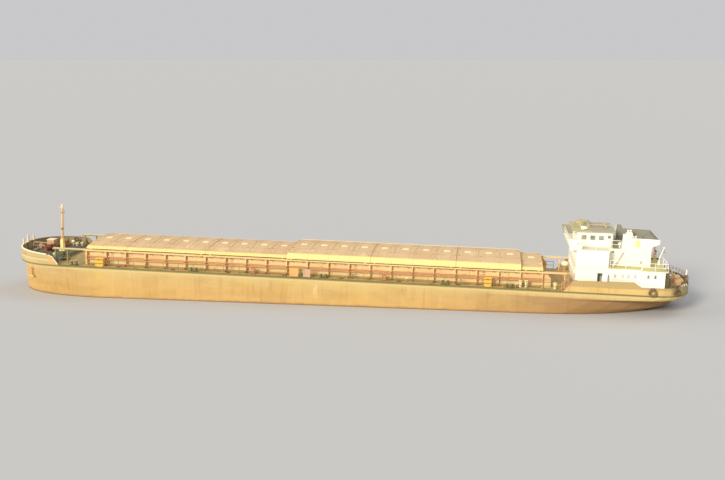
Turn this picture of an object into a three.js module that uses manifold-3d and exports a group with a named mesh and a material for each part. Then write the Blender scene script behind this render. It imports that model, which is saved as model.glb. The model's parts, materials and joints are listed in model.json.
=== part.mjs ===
// A self-propelled river barge with rolling hatch covers, as a 1:10 scale model.
// Sizes below are metres of the real ship; M turns them into millimetres of the model.
// Frame: +X aft, +Y starboard, +Z up. Origin amidships, on the centreline, on the flat bottom.
import * as THREE from 'three';
import { mergeVertices } from 'three/addons/utils/BufferGeometryUtils.js';
import Module from 'manifold-3d';

const wasm = await Module();
wasm.setup();

const M = 100; // millimetres of model for one metre of ship
const GAP = 0.003; // metres, between pieces that touch: 0.3 mm on the model

// Driving dimensions, in metres of the real ship
const SHIP = { bow: -46.65, stern: 47.75, half: 6.5, deck: 5.5, raisedDeck: 6.1, strake: 0.08 };
const HATCH = { fore: -35.15, panel: 2.886, lowPanels: 10, highPanels: 11, lastPanels: 1 };
HATCH.high = HATCH.fore + HATCH.lowPanels * HATCH.panel;
HATCH.last = HATCH.high + HATCH.highPanels * HATCH.panel;
HATCH.aft = HATCH.last + HATCH.lastPanels * HATCH.panel;
const HOLD = { half: 4.5, floor: 1.0, bulkhead: 0.4, fromHatchEnd: 0.35 };
const COAMING = { inner: 4.6, outer: 4.85, railOuter: 5.3, top: 7.64, railDepth: 0.16 };
const RAIL_END = { fore: -40.1, aft: 31.4 };
const COVER = { thick: 0.1, bottom: 7.78, lowHalf: 4.98, lowEdge: 8.1, highHalf: 5.36, highEdge: 8.42,
  crown: 0.36 };
const HOUSE = { fore: 32.45, waist: 36.6, wide: 40.7, aft: 43.75, half: 5.5, wideHalf: 6.2, upperHalf: 3.6,
  upperAft: 42.2 };
const LEVEL = { boat: 8.65, bridge: 10.95, roof: 12.95, plate: 0.1 };
const WALL = 0.12; // thickness of house and bulwark walls

// Colours of the paint, with roughness and metalness
const PAINT = {
  hull: [0xd9b36c, 0.75, 0.1], bulwark: [0xcdb98a, 0.7, 0.1], deck: [0x6f7a4c, 0.85, 0.05],
  coaming: [0xc9a878, 0.8, 0.1], cover: [0xcfa888, 0.8, 0.1], white: [0xf2efe2, 0.6, 0.05],
  yellow: [0xe8b23c, 0.6, 0.05], rust: [0x9a5436, 0.85, 0.2], rail: [0xb4664a, 0.75, 0.1],
  steel: [0x5a5a56, 0.6, 0.6], rubber: [0x26241f, 0.95, 0], bronze: [0xa87b3e, 0.4, 0.9],
};

// Solids from three.js geometry, in millimetres

function solid(geometry) {
  const bare = geometry.clone();
  bare.deleteAttribute('normal');
  bare.deleteAttribute('uv');
  const merged = mergeVertices(bare.index ? bare.toNonIndexed() : bare, 1e-3);
  return new wasm.Manifold(new wasm.Mesh({
    numProp: 3,
    vertProperties: new Float32Array(merged.attributes.position.array),
    triVerts: new Uint32Array(merged.index.array),
  }));
}

function piece(name, shape, paint) {
  const mesh = shape.getMesh();
  const geometry = new THREE.BufferGeometry();
  geometry.setAttribute('position', new THREE.BufferAttribute(new Float32Array(mesh.vertProperties), 3));
  geometry.setIndex(new THREE.BufferAttribute(new Uint32Array(mesh.triVerts), 1));
  geometry.computeVertexNormals();
  const [color, roughness, metalness] = PAINT[paint];
  const made = new THREE.Mesh(geometry, new THREE.MeshStandardMaterial({ color, roughness, metalness }));
  made.name = name;
  return made;
}

const join = (shapes) => shapes.reduce((whole, next) => whole.add(next));

// A box from its lowest to its highest corner, in metres
function box(x0, x1, y0, y1, z0, z1) {
  const geometry = new THREE.BoxGeometry((x1 - x0) * M, (y1 - y0) * M, (z1 - z0) * M);
  return solid(geometry.translate((x0 + x1) / 2 * M, (y0 + y1) / 2 * M, (z0 + z1) / 2 * M));
}

// The same box on both sides of the ship
const twoBoxes = (x0, x1, y0, y1, z0, z1) =>
  box(x0, x1, y0, y1, z0, z1).add(box(x0, x1, -y1, -y0, z0, z1));

// A round bar along an axis: centre of its first end, radii at both ends, length
function bar(axis, [x, y, z], r0, length, r1 = r0, sides = 8) {
  const geometry = new THREE.CylinderGeometry(r1 * M, r0 * M, length * M, sides);
  geometry.translate(0, length / 2 * M, 0);
  if (axis === 'x') geometry.rotateZ(-Math.PI / 2);
  if (axis === 'z') geometry.rotateX(Math.PI / 2);
  return solid(geometry.translate(x * M, y * M, z * M));
}

// A straight square bar between two points
function strut(from, to, width) {
  const a = new THREE.Vector3(...from).multiplyScalar(M);
  const b = new THREE.Vector3(...to).multiplyScalar(M);
  const geometry = new THREE.BoxGeometry(width * M, width * M, a.distanceTo(b));
  const along = b.clone().sub(a).normalize();
  geometry.applyQuaternion(new THREE.Quaternion().setFromUnitVectors(new THREE.Vector3(0, 0, 1), along));
  const middle = a.add(b).multiplyScalar(0.5);
  return solid(geometry.translate(middle.x, middle.y, middle.z));
}

function extrude(points, depth, holes = []) {
  const shape = new THREE.Shape(points.map(([u, v]) => new THREE.Vector2(u * M, v * M)));
  for (const hole of holes) {
    shape.holes.push(new THREE.Path(hole.map(([u, v]) => new THREE.Vector2(u * M, v * M))));
  }
  return new THREE.ExtrudeGeometry(shape, { depth: depth * M, bevelEnabled: false });
}

// Outlines in plan, side view and cross-section, made solid over a range of the third axis
const planPrism = (points, z0, z1) => solid(extrude(points, z1 - z0).translate(0, 0, z0 * M));
const sidePrism = (points, y0, y1) =>
  solid(extrude(points, y1 - y0).rotateX(Math.PI / 2).translate(0, y1 * M, 0));
function sectionPrism(points, x0, x1) {
  const toShip = new THREE.Matrix4().set(0, 0, 1, x0 * M, 1, 0, 0, 0, 0, 1, 0, 0, 0, 0, 0, 1);
  return solid(extrude(points, x1 - x0).applyMatrix4(toShip));
}

// The hull's plan at one height: superellipse ends on a parallel middle, port and starboard alike

const END_STEPS = 8;

function quarter(ends, half, fullness, fromTip) {
  const [tip, shoulder] = ends;
  const points = [];
  for (let i = 0; i <= END_STEPS; i += 1) {
    const angle = (fromTip ? i : END_STEPS - i) / END_STEPS * Math.PI / 2;
    const along = Math.cos(angle) ** (2 / fullness);
    const across = Math.sin(angle) ** (2 / fullness);
    points.push([shoulder + (tip - shoulder) * along, half * across]);
  }
  return points;
}

// Starboard half from the stern's tip to the bow's tip
function halfOutline({ bow, foreShoulder, bowFull, stern, aftShoulder, sternFull, half }) {
  return [
    ...quarter([stern, aftShoulder], half, sternFull, true),
    ...quarter([bow, foreShoulder], half, bowFull, false),
  ];
}

function fullOutline(level) {
  const starboard = halfOutline(level);
  const port = starboard.slice(1, -1).reverse().map(([x, y]) => [x, -y]);
  return [...starboard, ...port];
}

const DECK_PLAN = {
  bow: SHIP.bow, foreShoulder: -38.2, bowFull: 2.3, stern: SHIP.stern, aftShoulder: 42, sternFull: 2.5,
  half: SHIP.half,
};

// z, bow tip, fore shoulder, bow fullness, stern tip, aft shoulder, stern fullness, half breadth
const HULL_LEVELS = [
  [0.0, -44.8, -30.5, 2.0, 33.5, 19.0, 2.0, 6.0],
  [0.18, -45.7, -31.0, 2.0, 34.6, 20.0, 2.0, 6.32],
  [0.5, -46.15, -31.5, 2.05, 36.0, 21.5, 2.0, 6.5],
  [1.2, -46.3, -32.5, 2.1, 38.5, 24.0, 2.0, 6.5],
  [2.2, -46.22, -34.5, 2.2, 42.0, 27.0, 2.0, 6.5],
  [3.2, -46.1, -36.8, 2.25, 45.6, 29.5, 2.0, 6.5],
  [4.35, -46.02, -37.7, 2.3, 46.9, 31.5, 2.05, 6.5],
  [4.75, -46.02, -38.0, 2.3, 47.5, 40.5, 2.5, 6.5],
  [5.05, -46.05, -38.1, 2.3, 47.6, 41.8, 2.5, 6.5],
  [5.3, SHIP.bow, -38.2, 2.3, SHIP.stern, 42, 2.5, 6.5 + SHIP.strake],
  [5.5, SHIP.bow, -38.2, 2.3, SHIP.stern, 42, 2.5, 6.5 + SHIP.strake],
].map(([z, bow, foreShoulder, bowFull, stern, aftShoulder, sternFull, half]) =>
  ({ z, bow, foreShoulder, bowFull, stern, aftShoulder, sternFull, half }));

// A place on the rim of the plan's end: station, distance out of the rim, side
function onRim({ tip, shoulder, fullness, half }, x, out, side) {
  const share = (v) => Math.max(0, (v - shoulder) / (tip - shoulder));
  const across = (v) => half * (1 - share(v) ** fullness) ** (1 / fullness);
  const step = 0.01;
  const angle = Math.atan2(across(x) - across(x + step), step);
  const y = side * (across(x) + out * Math.cos(angle));
  return { x: x + out * Math.sin(angle), y, turn: -side * angle };
}

// A closed skin through the levels' outlines, with flat ends
function loft(levels) {
  const rings = levels.map((level) => fullOutline(level).map(([x, y]) => [x * M, y * M, level.z * M]));
  const count = rings[0].length;
  const points = rings.flat(2);
  const faces = [];
  for (let r = 0; r + 1 < rings.length; r += 1) {
    for (let i = 0; i < count; i += 1) {
      const a = r * count + i;
      const b = r * count + (i + 1) % count;
      faces.push(a, b, b + count, a, b + count, a + count);
    }
  }
  const top = (rings.length - 1) * count;
  for (let i = 0; i + 1 <= count / 2; i += 1) {
    const mirror = (count - i) % count;
    const next = count - i - 1;
    if (mirror !== i) faces.push(i, mirror, i + 1, top + i, top + i + 1, top + mirror);
    if (next !== i + 1) faces.push(i + 1, mirror, next, top + i + 1, top + next, top + mirror);
  }
  const geometry = new THREE.BufferGeometry();
  geometry.setAttribute('position', new THREE.Float32BufferAttribute(points, 3));
  geometry.setIndex(faces);
  return solid(geometry);
}

// Underwater gear: twin screws ahead of twin rudders

const SCREW = { x: 41.0, y: 2.6, z: 1.1, radius: 0.88, hub: 0.2, blades: 4 };
const RUDDER = { x: 42.5, fore: 42.15, aft: 43.7, low: 0.2, high: 2.3, stock: 0.12, stockTop: 3.3 };

function makeHull() {
  const shell = loft(HULL_LEVELS);
  const skeg = sidePrism([[30, 0], [38.5, 0], [41.5, 2.3], [41.5, 2.9], [33, 1.2], [30, 0.6]], -0.15, 0.15);
  const pit = (from, to) => box(from, to, -HOLD.half, HOLD.half, HOLD.floor, SHIP.deck + 1);
  const foreHold = pit(HATCH.fore + HOLD.fromHatchEnd, HATCH.high - HOLD.bulkhead);
  const aftHold = pit(HATCH.high, HATCH.aft - HOLD.fromHatchEnd);
  const bore = (side) => bar('z', [RUDDER.x, side * SCREW.y, 1.5], RUDDER.stock + 0.01, 2.0);
  const cuts = [foreHold, aftHold, bore(1), bore(-1)];
  return cuts.reduce((whole, cut) => whole.subtract(cut), shell.add(skeg));
}

function makeShaft(side) {
  const y = side * SCREW.y;
  const start = 36.5;
  const end = SCREW.x - 0.26;
  const tube = bar('x', [start, y, SCREW.z], 0.14, end - start);
  const leg = (foot) => strut([39.9, y, SCREW.z], [39.9, y + foot, 2.6], 0.1);
  return join([tube, leg(0.55), leg(-0.55)]).subtract(loft(HULL_LEVELS.map(grown)));
}

// The hull's levels a little larger, to cut pieces that rest on the hull
function grown(level) {
  const { z, bow, stern, half } = level;
  return { ...level, z: z - GAP, bow: bow - GAP, stern: stern + GAP, half: half + GAP };
}

function makeScrew(side) {
  const hub = bar('x', [-0.24, 0, 0], SCREW.hub, 0.5, 0.1);
  const parts = [hub];
  for (let i = 0; i < SCREW.blades; i += 1) {
    const blade = new THREE.BoxGeometry(0.045 * M, 0.42 * M, (SCREW.radius - 0.1) * M);
    blade.translate(0, 0, (SCREW.radius + 0.1) / 2 * M);
    blade.rotateZ(side * 0.6).rotateX(i / SCREW.blades * 2 * Math.PI);
    parts.push(solid(blade));
  }
  return join(parts);
}

function makeRudder() {
  const plan = [[RUDDER.fore, 0], [RUDDER.fore + 0.3, 0.11], [RUDDER.aft, 0.02], [RUDDER.aft, -0.02],
    [RUDDER.fore + 0.3, -0.11]].reverse();
  const blade = planPrism(plan.map(([x, y]) => [x - RUDDER.x, y]), RUDDER.low, RUDDER.high);
  return blade.add(bar('z', [0, 0, 1.2], RUDDER.stock, RUDDER.stockTop - 1.2));
}

// Cargo hatch: coaming with stays and rolling rails, low and high covers

const sideRange = (side, a, b) => (side > 0 ? [a, b] : [-b, -a]);

function makeCoamingSide(side) {
  const base = SHIP.deck + GAP;
  const underRail = COAMING.top - COAMING.railDepth - GAP;
  const across = (a, b) => sideRange(side, a, b);
  const wall = box(HATCH.fore, HATCH.aft, ...across(COAMING.inner, COAMING.outer), base, COAMING.top);
  const flange = across(COAMING.outer - 0.05, COAMING.outer + 0.18);
  const stiffener = box(HATCH.fore, HATCH.aft, ...flange, 6.7, 6.82);
  const parts = [wall, stiffener];
  const stays = HATCH.lowPanels + HATCH.highPanels + HATCH.lastPanels;
  for (let i = 0; i <= stays; i += 1) {
    const x = HATCH.fore + 0.08 + i * (HATCH.aft - HATCH.fore - 0.16) / stays;
    const reach = across(COAMING.outer - 0.07, COAMING.railOuter - 0.02);
    parts.push(box(x - 0.06, x + 0.06, ...reach, base, underRail));
  }
  return join(parts);
}

// Rail for the covers' rollers, wider past the coaming's ends, where brackets and a post carry it
function makeCoverRail(side) {
  const [fore, aft] = [HATCH.fore - 0.04, HATCH.aft + 0.04];
  const railLow = COAMING.top - COAMING.railDepth;
  const wide = COAMING.inner + 0.04;
  const narrow = COAMING.outer + GAP;
  const plan = [[RAIL_END.fore, wide], [fore, wide], [fore, narrow], [aft, narrow], [aft, wide],
    [RAIL_END.aft, wide], [RAIL_END.aft, COAMING.railOuter], [RAIL_END.fore, COAMING.railOuter]];
  const outline = side > 0 ? plan : plan.map(([x, y]) => [x, -y]).reverse();
  const parts = [planPrism(outline, railLow, COAMING.top)];
  for (const [end, out] of [[fore, -1], [aft, 1]]) {
    const gusset = [[end, SHIP.deck + GAP], [end + 1.0 * out, SHIP.deck + GAP], [end + 1.0 * out, 6.75],
      [end + 0.3 * out, railLow + 0.04], [end, railLow + 0.04]];
    parts.push(sidePrism(out > 0 ? gusset : gusset.reverse(), ...sideRange(side, 4.75, 4.87)));
  }
  const post = (x, foot) => box(x - 0.08, x + 0.08, ...sideRange(side, 4.9, 5.1), foot, railLow + 0.06);
  parts.push(post(RAIL_END.fore + 0.3, SHIP.raisedDeck + GAP), post(-38.0, SHIP.deck + GAP));
  parts.push(post(RAIL_END.aft - 0.25, SHIP.deck + GAP));
  return join(parts);
}

function makeCoamingEnd(x, out) {
  const base = SHIP.deck + GAP;
  const half = COAMING.inner - GAP;
  const wall = box(Math.min(x, x - 0.25 * out), Math.max(x, x - 0.25 * out), -half, half, base, COAMING.top);
  const parts = [wall];
  for (let i = -2; i <= 2; i += 1) {
    const foot = [[x, base], [x + 0.45 * out, base], [x, COAMING.top - 0.2]];
    parts.push(sidePrism(out > 0 ? foot : foot.reverse(), i * 1.7 - 0.05, i * 1.7 + 0.05));
  }
  return join(parts);
}

// One cover section: a crowned trough upside down, ribs at its panels' edges, rollers inside its skirts
function makeCover(fore, panels, half, edge, rollerY) {
  const aft = fore + panels * HATCH.panel - 0.04;
  const skirt = COVER.bottom + 0.16;
  const slope = 0.4;
  const t = COVER.thick;
  const crownAt = (share) => edge + COVER.crown * (1 - share * share);
  const top = [1, 0.6, 0, -0.6, -1].map((share) => [share * (half - slope), crownAt(share)]);
  const outer = [[half, COVER.bottom], [half, skirt], ...top, [-half, skirt], [-half, COVER.bottom]];
  const lining = top.map(([y, z]) => [y * 0.985, z - t]).reverse();
  const inner = [[-half + t, COVER.bottom], [-half + t, skirt - 0.04], ...lining, [half - t, skirt - 0.04],
    [half - t, COVER.bottom]];
  const parts = [sectionPrism([...outer, ...inner], fore, aft)];
  const ribTop = top.map(([y, z]) => [y * 0.94, z + 0.04]);
  const ribLow = top.map(([y, z]) => [y * 0.94, z - 0.05]).reverse();
  for (let i = 0; i <= panels; i += 1) {
    const x = Math.min(Math.max(fore + i * HATCH.panel, fore + 0.08), aft - 0.08);
    parts.push(sectionPrism([...ribTop, ...ribLow], x - 0.05, x + 0.05));
  }
  const tread = half - t - rollerY + 0.02;
  for (const x of [fore + 0.6, aft - 0.6]) {
    for (const start of [rollerY, -rollerY - tread]) {
      parts.push(bar('y', [x, start, COAMING.top + 0.145], 0.13, tread));
    }
  }
  return join(parts);
}

const LOW_ROLLER = 4.68;
const HIGH_ROLLER = 5.08;

// name, fore edge, panels, high or low
const COVERS = [
  ['low_cover_1', HATCH.fore, 2, false],
  ['low_cover_2', HATCH.fore + 2 * HATCH.panel, 4, false],
  ['low_cover_3', HATCH.fore + 6 * HATCH.panel, 4, false],
  ['high_cover_1', HATCH.high, 4, true],
  ['high_cover_2', HATCH.high + 4 * HATCH.panel, 4, true],
  ['high_cover_3', HATCH.high + 8 * HATCH.panel, 3, true],
  ['low_cover_4', HATCH.last, HATCH.lastPanels, false],
];

function makeCovers() {
  return COVERS.map(([name, fore, panels, high]) => {
    const half = high ? COVER.highHalf : COVER.lowHalf;
    const edge = high ? COVER.highEdge : COVER.lowEdge;
    return piece(name, makeCover(fore, panels, half, edge, high ? HIGH_ROLLER : LOW_ROLLER), 'cover');
  });
}

// Decks and bulwarks that follow the hull's edge

// The plan between two stations, inset from the hull's edge
function deckPlan(from, to, inset) {
  const plan = fullOutline({
    ...DECK_PLAN, half: DECK_PLAN.half - inset, bow: DECK_PLAN.bow + inset, stern: DECK_PLAN.stern - inset,
  });
  return planPrism(plan, 0, 1).intersect(box(from, to, -10, 10, -1, 2));
}

function deckSlab(from, to, inset, z0, z1) {
  return deckPlan(from, to, inset).scale([1, 1, z1 - z0]).translate([0, 0, z0 * M]);
}

// A wall along the hull's edge over a range of stations, its top following a profile of [x, z] points
function edgeWall(from, to, z0, profile) {
  const ring = deckSlab(from, to, 0, z0, 8).subtract(deckSlab(from - 1, to + 1, WALL, z0 - 1, 9));
  const keep = [[from - 0.1, z0 - 0.1], ...profile, [to + 0.1, z0 - 0.1]];
  return ring.intersect(sidePrism([...keep].reverse(), -10, 10));
}

function bollards(x, y, z) {
  const posts = [-0.35, 0.35].map((dx) => bar('z', [x + dx, y, z - 0.05], 0.15, 0.65));
  return join([...posts, box(x - 0.6, x + 0.6, y - 0.22, y + 0.22, z - 0.05, z + 0.07)]);
}

const FORECASTLE_END = -39.4;
const POOP_START = 31.3;

function makeForecastleDeck() {
  const slab = deckSlab(SHIP.bow, FORECASTLE_END, WALL + GAP, SHIP.deck + GAP, SHIP.raisedDeck);
  const bits = [[-41.0, 4.9], [-41.0, -4.9], [-44.4, 3.6], [-44.4, -3.6]];
  return join([slab, ...bits.map(([x, y]) => bollards(x, y, SHIP.raisedDeck))]);
}

function makeBowBulwark() {
  const top = [[SHIP.bow - 0.1, 7.12], [-44.5, 7.07], [-42.6, 6.98], [-40.25, 6.86], [-39.62, 6.62],
    [-38.85, 5.6], [-38.7, 5.6]];
  const wall = edgeWall(SHIP.bow, -38.8, SHIP.deck + GAP, top);
  const post = (x, y, radius, height) => bar('z', [x, y, SHIP.raisedDeck + GAP], radius, height);
  const sidePosts = [-1.5, 1.5].map((y) => post(SHIP.bow + 0.33, y, 0.14, 1.85));
  return join([wall, post(SHIP.bow + 0.22, 0, 0.16, 2.15), ...sidePosts]);
}

function makePoopDeck() {
  const slab = deckSlab(POOP_START, SHIP.stern, WALL + GAP, SHIP.deck + GAP, SHIP.raisedDeck);
  const bits = [[45.1, 4.3], [45.1, -4.3]];
  const floor = SHIP.raisedDeck - 0.02;
  const [ventX, ventY] = [31.75, 3];
  const vent = bar('z', [ventX, ventY, floor], 0.18, 0.9);
  const ventHead = bar('z', [ventX, ventY, floor + 0.8], 0.33, 0.5, 0.24);
  const lightPost = bar('z', [47.1, -2.4, floor], 0.09, 1.5);
  const handrails = [-6.05, -5.6].map((y) => join([
    box(31.5, 31.58, y - 0.04, y + 0.04, floor, 7.12), strut([31.54, y, 7.1], [30.75, y, 6.5], 0.07),
    box(30.71, 30.79, y - 0.04, y + 0.04, SHIP.deck + GAP, 6.52),
  ]));
  const step = box(30.73, POOP_START + 0.2, -6.05, -5.6, 5.78, 5.84);
  const pairs = bits.map(([x, y]) => bollards(x, y, SHIP.raisedDeck));
  return join([slab, ...pairs, vent, ventHead, lightPost, ...handrails, step]);
}

function makeSternBulwark() {
  const top = [[30.8, 5.6], [31.0, 5.6], [32.2, 7.0], [39.9, 7.15], [40.8, 6.5], [SHIP.stern + 0.1, 6.5]];
  return edgeWall(30.9, SHIP.stern, SHIP.deck + GAP, top);
}

// House: lower and upper tiers as hollow walls, decks between them, wheelhouse on top

function ringWalls(x0, x1, half, z0, z1) {
  return box(x0, x1, -half, half, z0, z1)
    .subtract(box(x0 + WALL, x1 - WALL, -half + WALL, half - WALL, z0 - 1, z1 + 1));
}

// Openings are cut in the walls; each leaf is a little larger and hangs outside the wall
const DOOR = { width: 0.66, height: 1.7, sill: 0.14, lap: 0.04, thick: 0.06, off: 0.08, lowX: 35.6,
  wheelX: 36.75 };
const doorway = (x, y0, y1, floor) =>
  box(x - DOOR.width / 2, x + DOOR.width / 2, y0, y1, floor + DOOR.sill, floor + DOOR.sill + DOOR.height);

function makeLowerHouse() {
  const z0 = SHIP.raisedDeck + GAP;
  const z1 = LEVEL.boat - LEVEL.plate - GAP;
  const outer = box(HOUSE.fore, HOUSE.wide, -HOUSE.half, HOUSE.half, z0, z1)
    .add(box(HOUSE.wide, HOUSE.aft, -HOUSE.wideHalf, HOUSE.wideHalf, z0, z1));
  const [half, wideHalf] = [HOUSE.half - WALL, HOUSE.wideHalf - WALL];
  const inner = box(HOUSE.fore + WALL, HOUSE.wide + 0.2, -half, half, z0 - 1, z1 + 1)
    .add(box(HOUSE.wide + WALL, HOUSE.aft - WALL, -wideHalf, wideHalf, z0 - 1, z1 + 1));
  return outer.subtract(inner).subtract(doorway(DOOR.lowX, -7, 7, SHIP.raisedDeck));
}

function makeBoatDeck() {
  const z0 = LEVEL.boat - LEVEL.plate;
  const z1 = LEVEL.boat;
  const narrow = box(HOUSE.fore - 0.1, HOUSE.wide, -HOUSE.half - 0.08, HOUSE.half + 0.08, z0, z1);
  const wide = box(HOUSE.wide, HOUSE.aft + 0.35, -HOUSE.wideHalf - 0.08, HOUSE.wideHalf + 0.08, z0, z1);
  const pedestal = bar('z', [DAVIT.x, DAVIT.y, z1 - 0.02], 0.17, 0.52);
  const pillars = twoBoxes(42.54, 42.66, 3.3, 3.42, z1 - 0.02, 11.4);
  return join([narrow, wide, pedestal, pillars]);
}

function makeUpperHouse() {
  const z0 = LEVEL.boat + GAP;
  const z1 = LEVEL.bridge - LEVEL.plate - GAP;
  const fore = ringWalls(HOUSE.fore, HOUSE.waist, HOUSE.half, z0, z1);
  const aft = ringWalls(HOUSE.waist - WALL, HOUSE.upperAft, HOUSE.upperHalf, z0, z1);
  const passage = box(HOUSE.waist - 0.3, HOUSE.waist + 0.2, -0.4, 0.4, z0 + 0.1, z0 + 2.0);
  return fore.add(aft).subtract(passage);
}

// Bridge deck: overhangs forward on brackets, with flared screens at the wings and a well around the funnels
const BRIDGE = { fore: 31.6, screenTop: 12.3, screenAft: 33.0, wellFore: 38.35, wellAft: 43.2,
  wellTop: 12.35 };

function makeBridgeDeck() {
  const z0 = LEVEL.bridge - LEVEL.plate;
  const z1 = LEVEL.bridge;
  const half = HOUSE.half + 0.02;
  const wellHalf = HOUSE.upperHalf + 0.02;
  const fore = box(BRIDGE.fore, HOUSE.waist + 0.1, -half, half, z0, z1);
  const aft = box(HOUSE.waist, HOUSE.upperAft + 0.05, -wellHalf, wellHalf, z0, z1);
  const screen = (side) => sidePrism([[BRIDGE.screenAft, z0 + 0.02], [BRIDGE.screenAft, BRIDGE.screenTop],
    [BRIDGE.fore - 0.4, BRIDGE.screenTop], [BRIDGE.fore, z0 + 0.02]], ...sideRange(side, half - 0.1, half));
  const bracket = (y) => sidePrism([[HOUSE.fore - 0.06, 10.2], [HOUSE.fore - 0.06, z0 + 0.04],
    [BRIDGE.fore + 0.1, z0 + 0.04]], y - 0.04, y + 0.04);
  const wellFoot = HOUSE.upperAft + 0.03;
  const wellOutline = [[BRIDGE.wellAft, 11.75], [BRIDGE.wellAft, BRIDGE.wellTop], [39.35, 12.42],
    [39.1, 12.95], [BRIDGE.wellFore + 0.1, 12.95], [BRIDGE.wellFore, z0 + 0.02], [wellFoot, z0 + 0.02],
    [wellFoot, 11.3]];
  const wellSide = (side) => sidePrism(wellOutline, ...sideRange(side, wellHalf - 0.1, wellHalf));
  const inner = wellHalf - 0.05;
  const [endFore, endAft] = [BRIDGE.wellAft - 0.12, BRIDGE.wellAft - 0.02];
  const wellEnd = box(endFore, endAft, -inner, inner, 11.82, BRIDGE.wellTop - 0.04);
  const soffit = sidePrism([[BRIDGE.wellAft - 0.05, 11.83], [BRIDGE.wellAft - 0.15, 11.93],
    [HOUSE.upperAft - 0.07, 11.48], [HOUSE.upperAft - 0.07, z0 + 0.05], [HOUSE.upperAft + 0.01, z0 + 0.05],
    [HOUSE.upperAft + 0.01, 11.4]], -inner, inner);
  const brackets = [-4.5, -1.5, 1.5, 4.5].map(bracket);
  return join([fore, aft, screen(1), screen(-1), ...brackets, wellSide(1), wellSide(-1), wellEnd, soffit]);
}

const WHEEL = { fore: 32.6, aft: 37.25, half: 3.0, sill: 11.85, head: 12.45 };

function makeWheelhouse() {
  const cuts = [doorway(DOOR.wheelX, -7, 7, LEVEL.bridge)];
  for (let i = -2; i <= 2; i += 1) {
    cuts.push(box(WHEEL.fore - 1, WHEEL.fore + 1, i * 1.14 - 0.42, i * 1.14 + 0.42, WHEEL.sill, WHEEL.head));
    if (i !== 0) {
      cuts.push(box(WHEEL.aft - 1, WHEEL.aft + 1, i * 1.14 - 0.35, i * 1.14 + 0.35, WHEEL.sill, WHEEL.head));
    }
  }
  for (const x of [33.5, 34.65, 35.75]) {
    cuts.push(box(x - 0.33, x + 0.33, -7, 7, WHEEL.sill, WHEEL.head));
  }
  const trackOut = [WHEEL.half - 0.02, WHEEL.half + 0.14];
  const track = twoBoxes(DOOR.wheelX - 1.1, WHEEL.aft - 0.05, ...trackOut, 12.885, 12.93);
  const walls = ringWalls(WHEEL.fore, WHEEL.aft, WHEEL.half, LEVEL.bridge + GAP, LEVEL.roof - GAP);
  return cuts.reduce((whole, cut) => whole.subtract(cut), walls.add(track));
}

const SCANNER = { x: 33.3, z: 13.75 };
const RADAR_MAST = { x: 34.3, z: 13.35, length: 3.2 };

function makeRoof() {
  const top = LEVEL.roof + 0.12;
  const half = WHEEL.half + 0.3;
  const slab = box(WHEEL.fore - 0.6, WHEEL.aft + 0.3, -half, half, LEVEL.roof, top);
  const pedestal = bar('z', [SCANNER.x, 0, top - 0.02], 0.14, SCANNER.z - top - 0.04);
  const { x, z } = RADAR_MAST;
  const cheeks = twoBoxes(x - 0.15, x + 0.15, 0.15, 0.23, top - 0.02, z + 0.15);
  const crutchX = x + RADAR_MAST.length - 0.25;
  const crutch = box(crutchX, crutchX + 0.1, -0.2, 0.2, top - 0.02, z - 0.16);
  return join([slab, pedestal, cheeks, crutch]);
}

function makeRadarMast() {
  const pole = bar('x', [-0.1, 0, 0], 0.09, RADAR_MAST.length, 0.06);
  const yard = box(2.15, 2.25, -1.1, 1.1, -0.05, 0.05);
  const lamps = join([-1.0, 0, 1.0].map((y) => box(2.1, 2.3, y - 0.1, y + 0.1, -0.12, 0.12)));
  return join([pole, yard, lamps]);
}

function makeScanner() {
  return box(-0.12, 0.12, -0.8, 0.8, 0.06, 0.22).add(bar('z', [0, 0, -0.02], 0.1, 0.12));
}

// One leaf, extending forward from its aft edge, with a handle on each of the given faces
function makeDoor(faces) {
  const leafWidth = DOOR.width + 2 * DOOR.lap;
  const [face, middle] = [DOOR.thick / 2, DOOR.height / 2];
  const leaf = box(-leafWidth, 0, -face, face, -DOOR.lap, DOOR.height + DOOR.lap);
  const [fore, aft] = [-leafWidth + 0.16, -leafWidth + 0.2];
  const handles = faces.map((side) =>
    box(fore, aft, ...sideRange(side, face - 0.01, face + 0.05), middle - 0.1, middle + 0.1));
  return join([leaf, ...handles]);
}

// Outline of a flat bar of a given width along a line of corners
function barOutline(corners, width) {
  const edge = (side) => corners.map((corner, i) => {
    const point = new THREE.Vector2(...corner);
    const before = new THREE.Vector2(...(corners[i - 1] ?? corner));
    const after = new THREE.Vector2(...(corners[i + 1] ?? corner));
    const incoming = point.clone().sub(before).normalize();
    const outgoing = after.clone().sub(point).normalize();
    const along = incoming.clone().add(outgoing).normalize();
    const reach = side * width / 2 / Math.max(Math.abs(along.dot(incoming)), Math.abs(along.dot(outgoing)));
    return [point.x - along.y * reach, point.y + along.x * reach];
  });
  return [...edge(1), ...edge(-1).reverse()];
}

// Handrail of posts and two rails round a deck's edge, through a line of corners
function makeDeckRail(corners, base, height) {
  const thick = 0.06;
  const half = thick * 0.4;
  const outline = barOutline(corners, thick);
  const levels = [base + height, base + height * 0.5];
  const parts = levels.map((z) => planPrism(outline, z - thick / 2, z + thick / 2));
  const post = (x, y) => box(x - half, x + half, y - half, y + half, base + GAP, base + height);
  parts.push(post(...corners[0]));
  corners.slice(1).forEach(([x1, y1], n) => {
    const [x0, y0] = corners[n];
    const bays = Math.max(1, Math.round(Math.hypot(x1 - x0, y1 - y0) / 1.9));
    for (let i = 1; i <= bays; i += 1) {
      parts.push(post(x0 + (x1 - x0) * i / bays, y0 + (y1 - y0) * i / bays));
    }
  });
  return join(parts);
}

// Deck gear

const DAVIT = { x: 43.55, y: -2, z: 9.18 };

function makeDavit() {
  const post = bar('z', [0, 0, 0], 0.13, 0.5);
  const boom = strut([0, 0, 0.3], [0.5, 0, 1.85], 0.14);
  const head = box(0.38, 0.62, -0.09, 0.09, 1.74, 1.95);
  return join([post, boom, head]);
}

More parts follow.
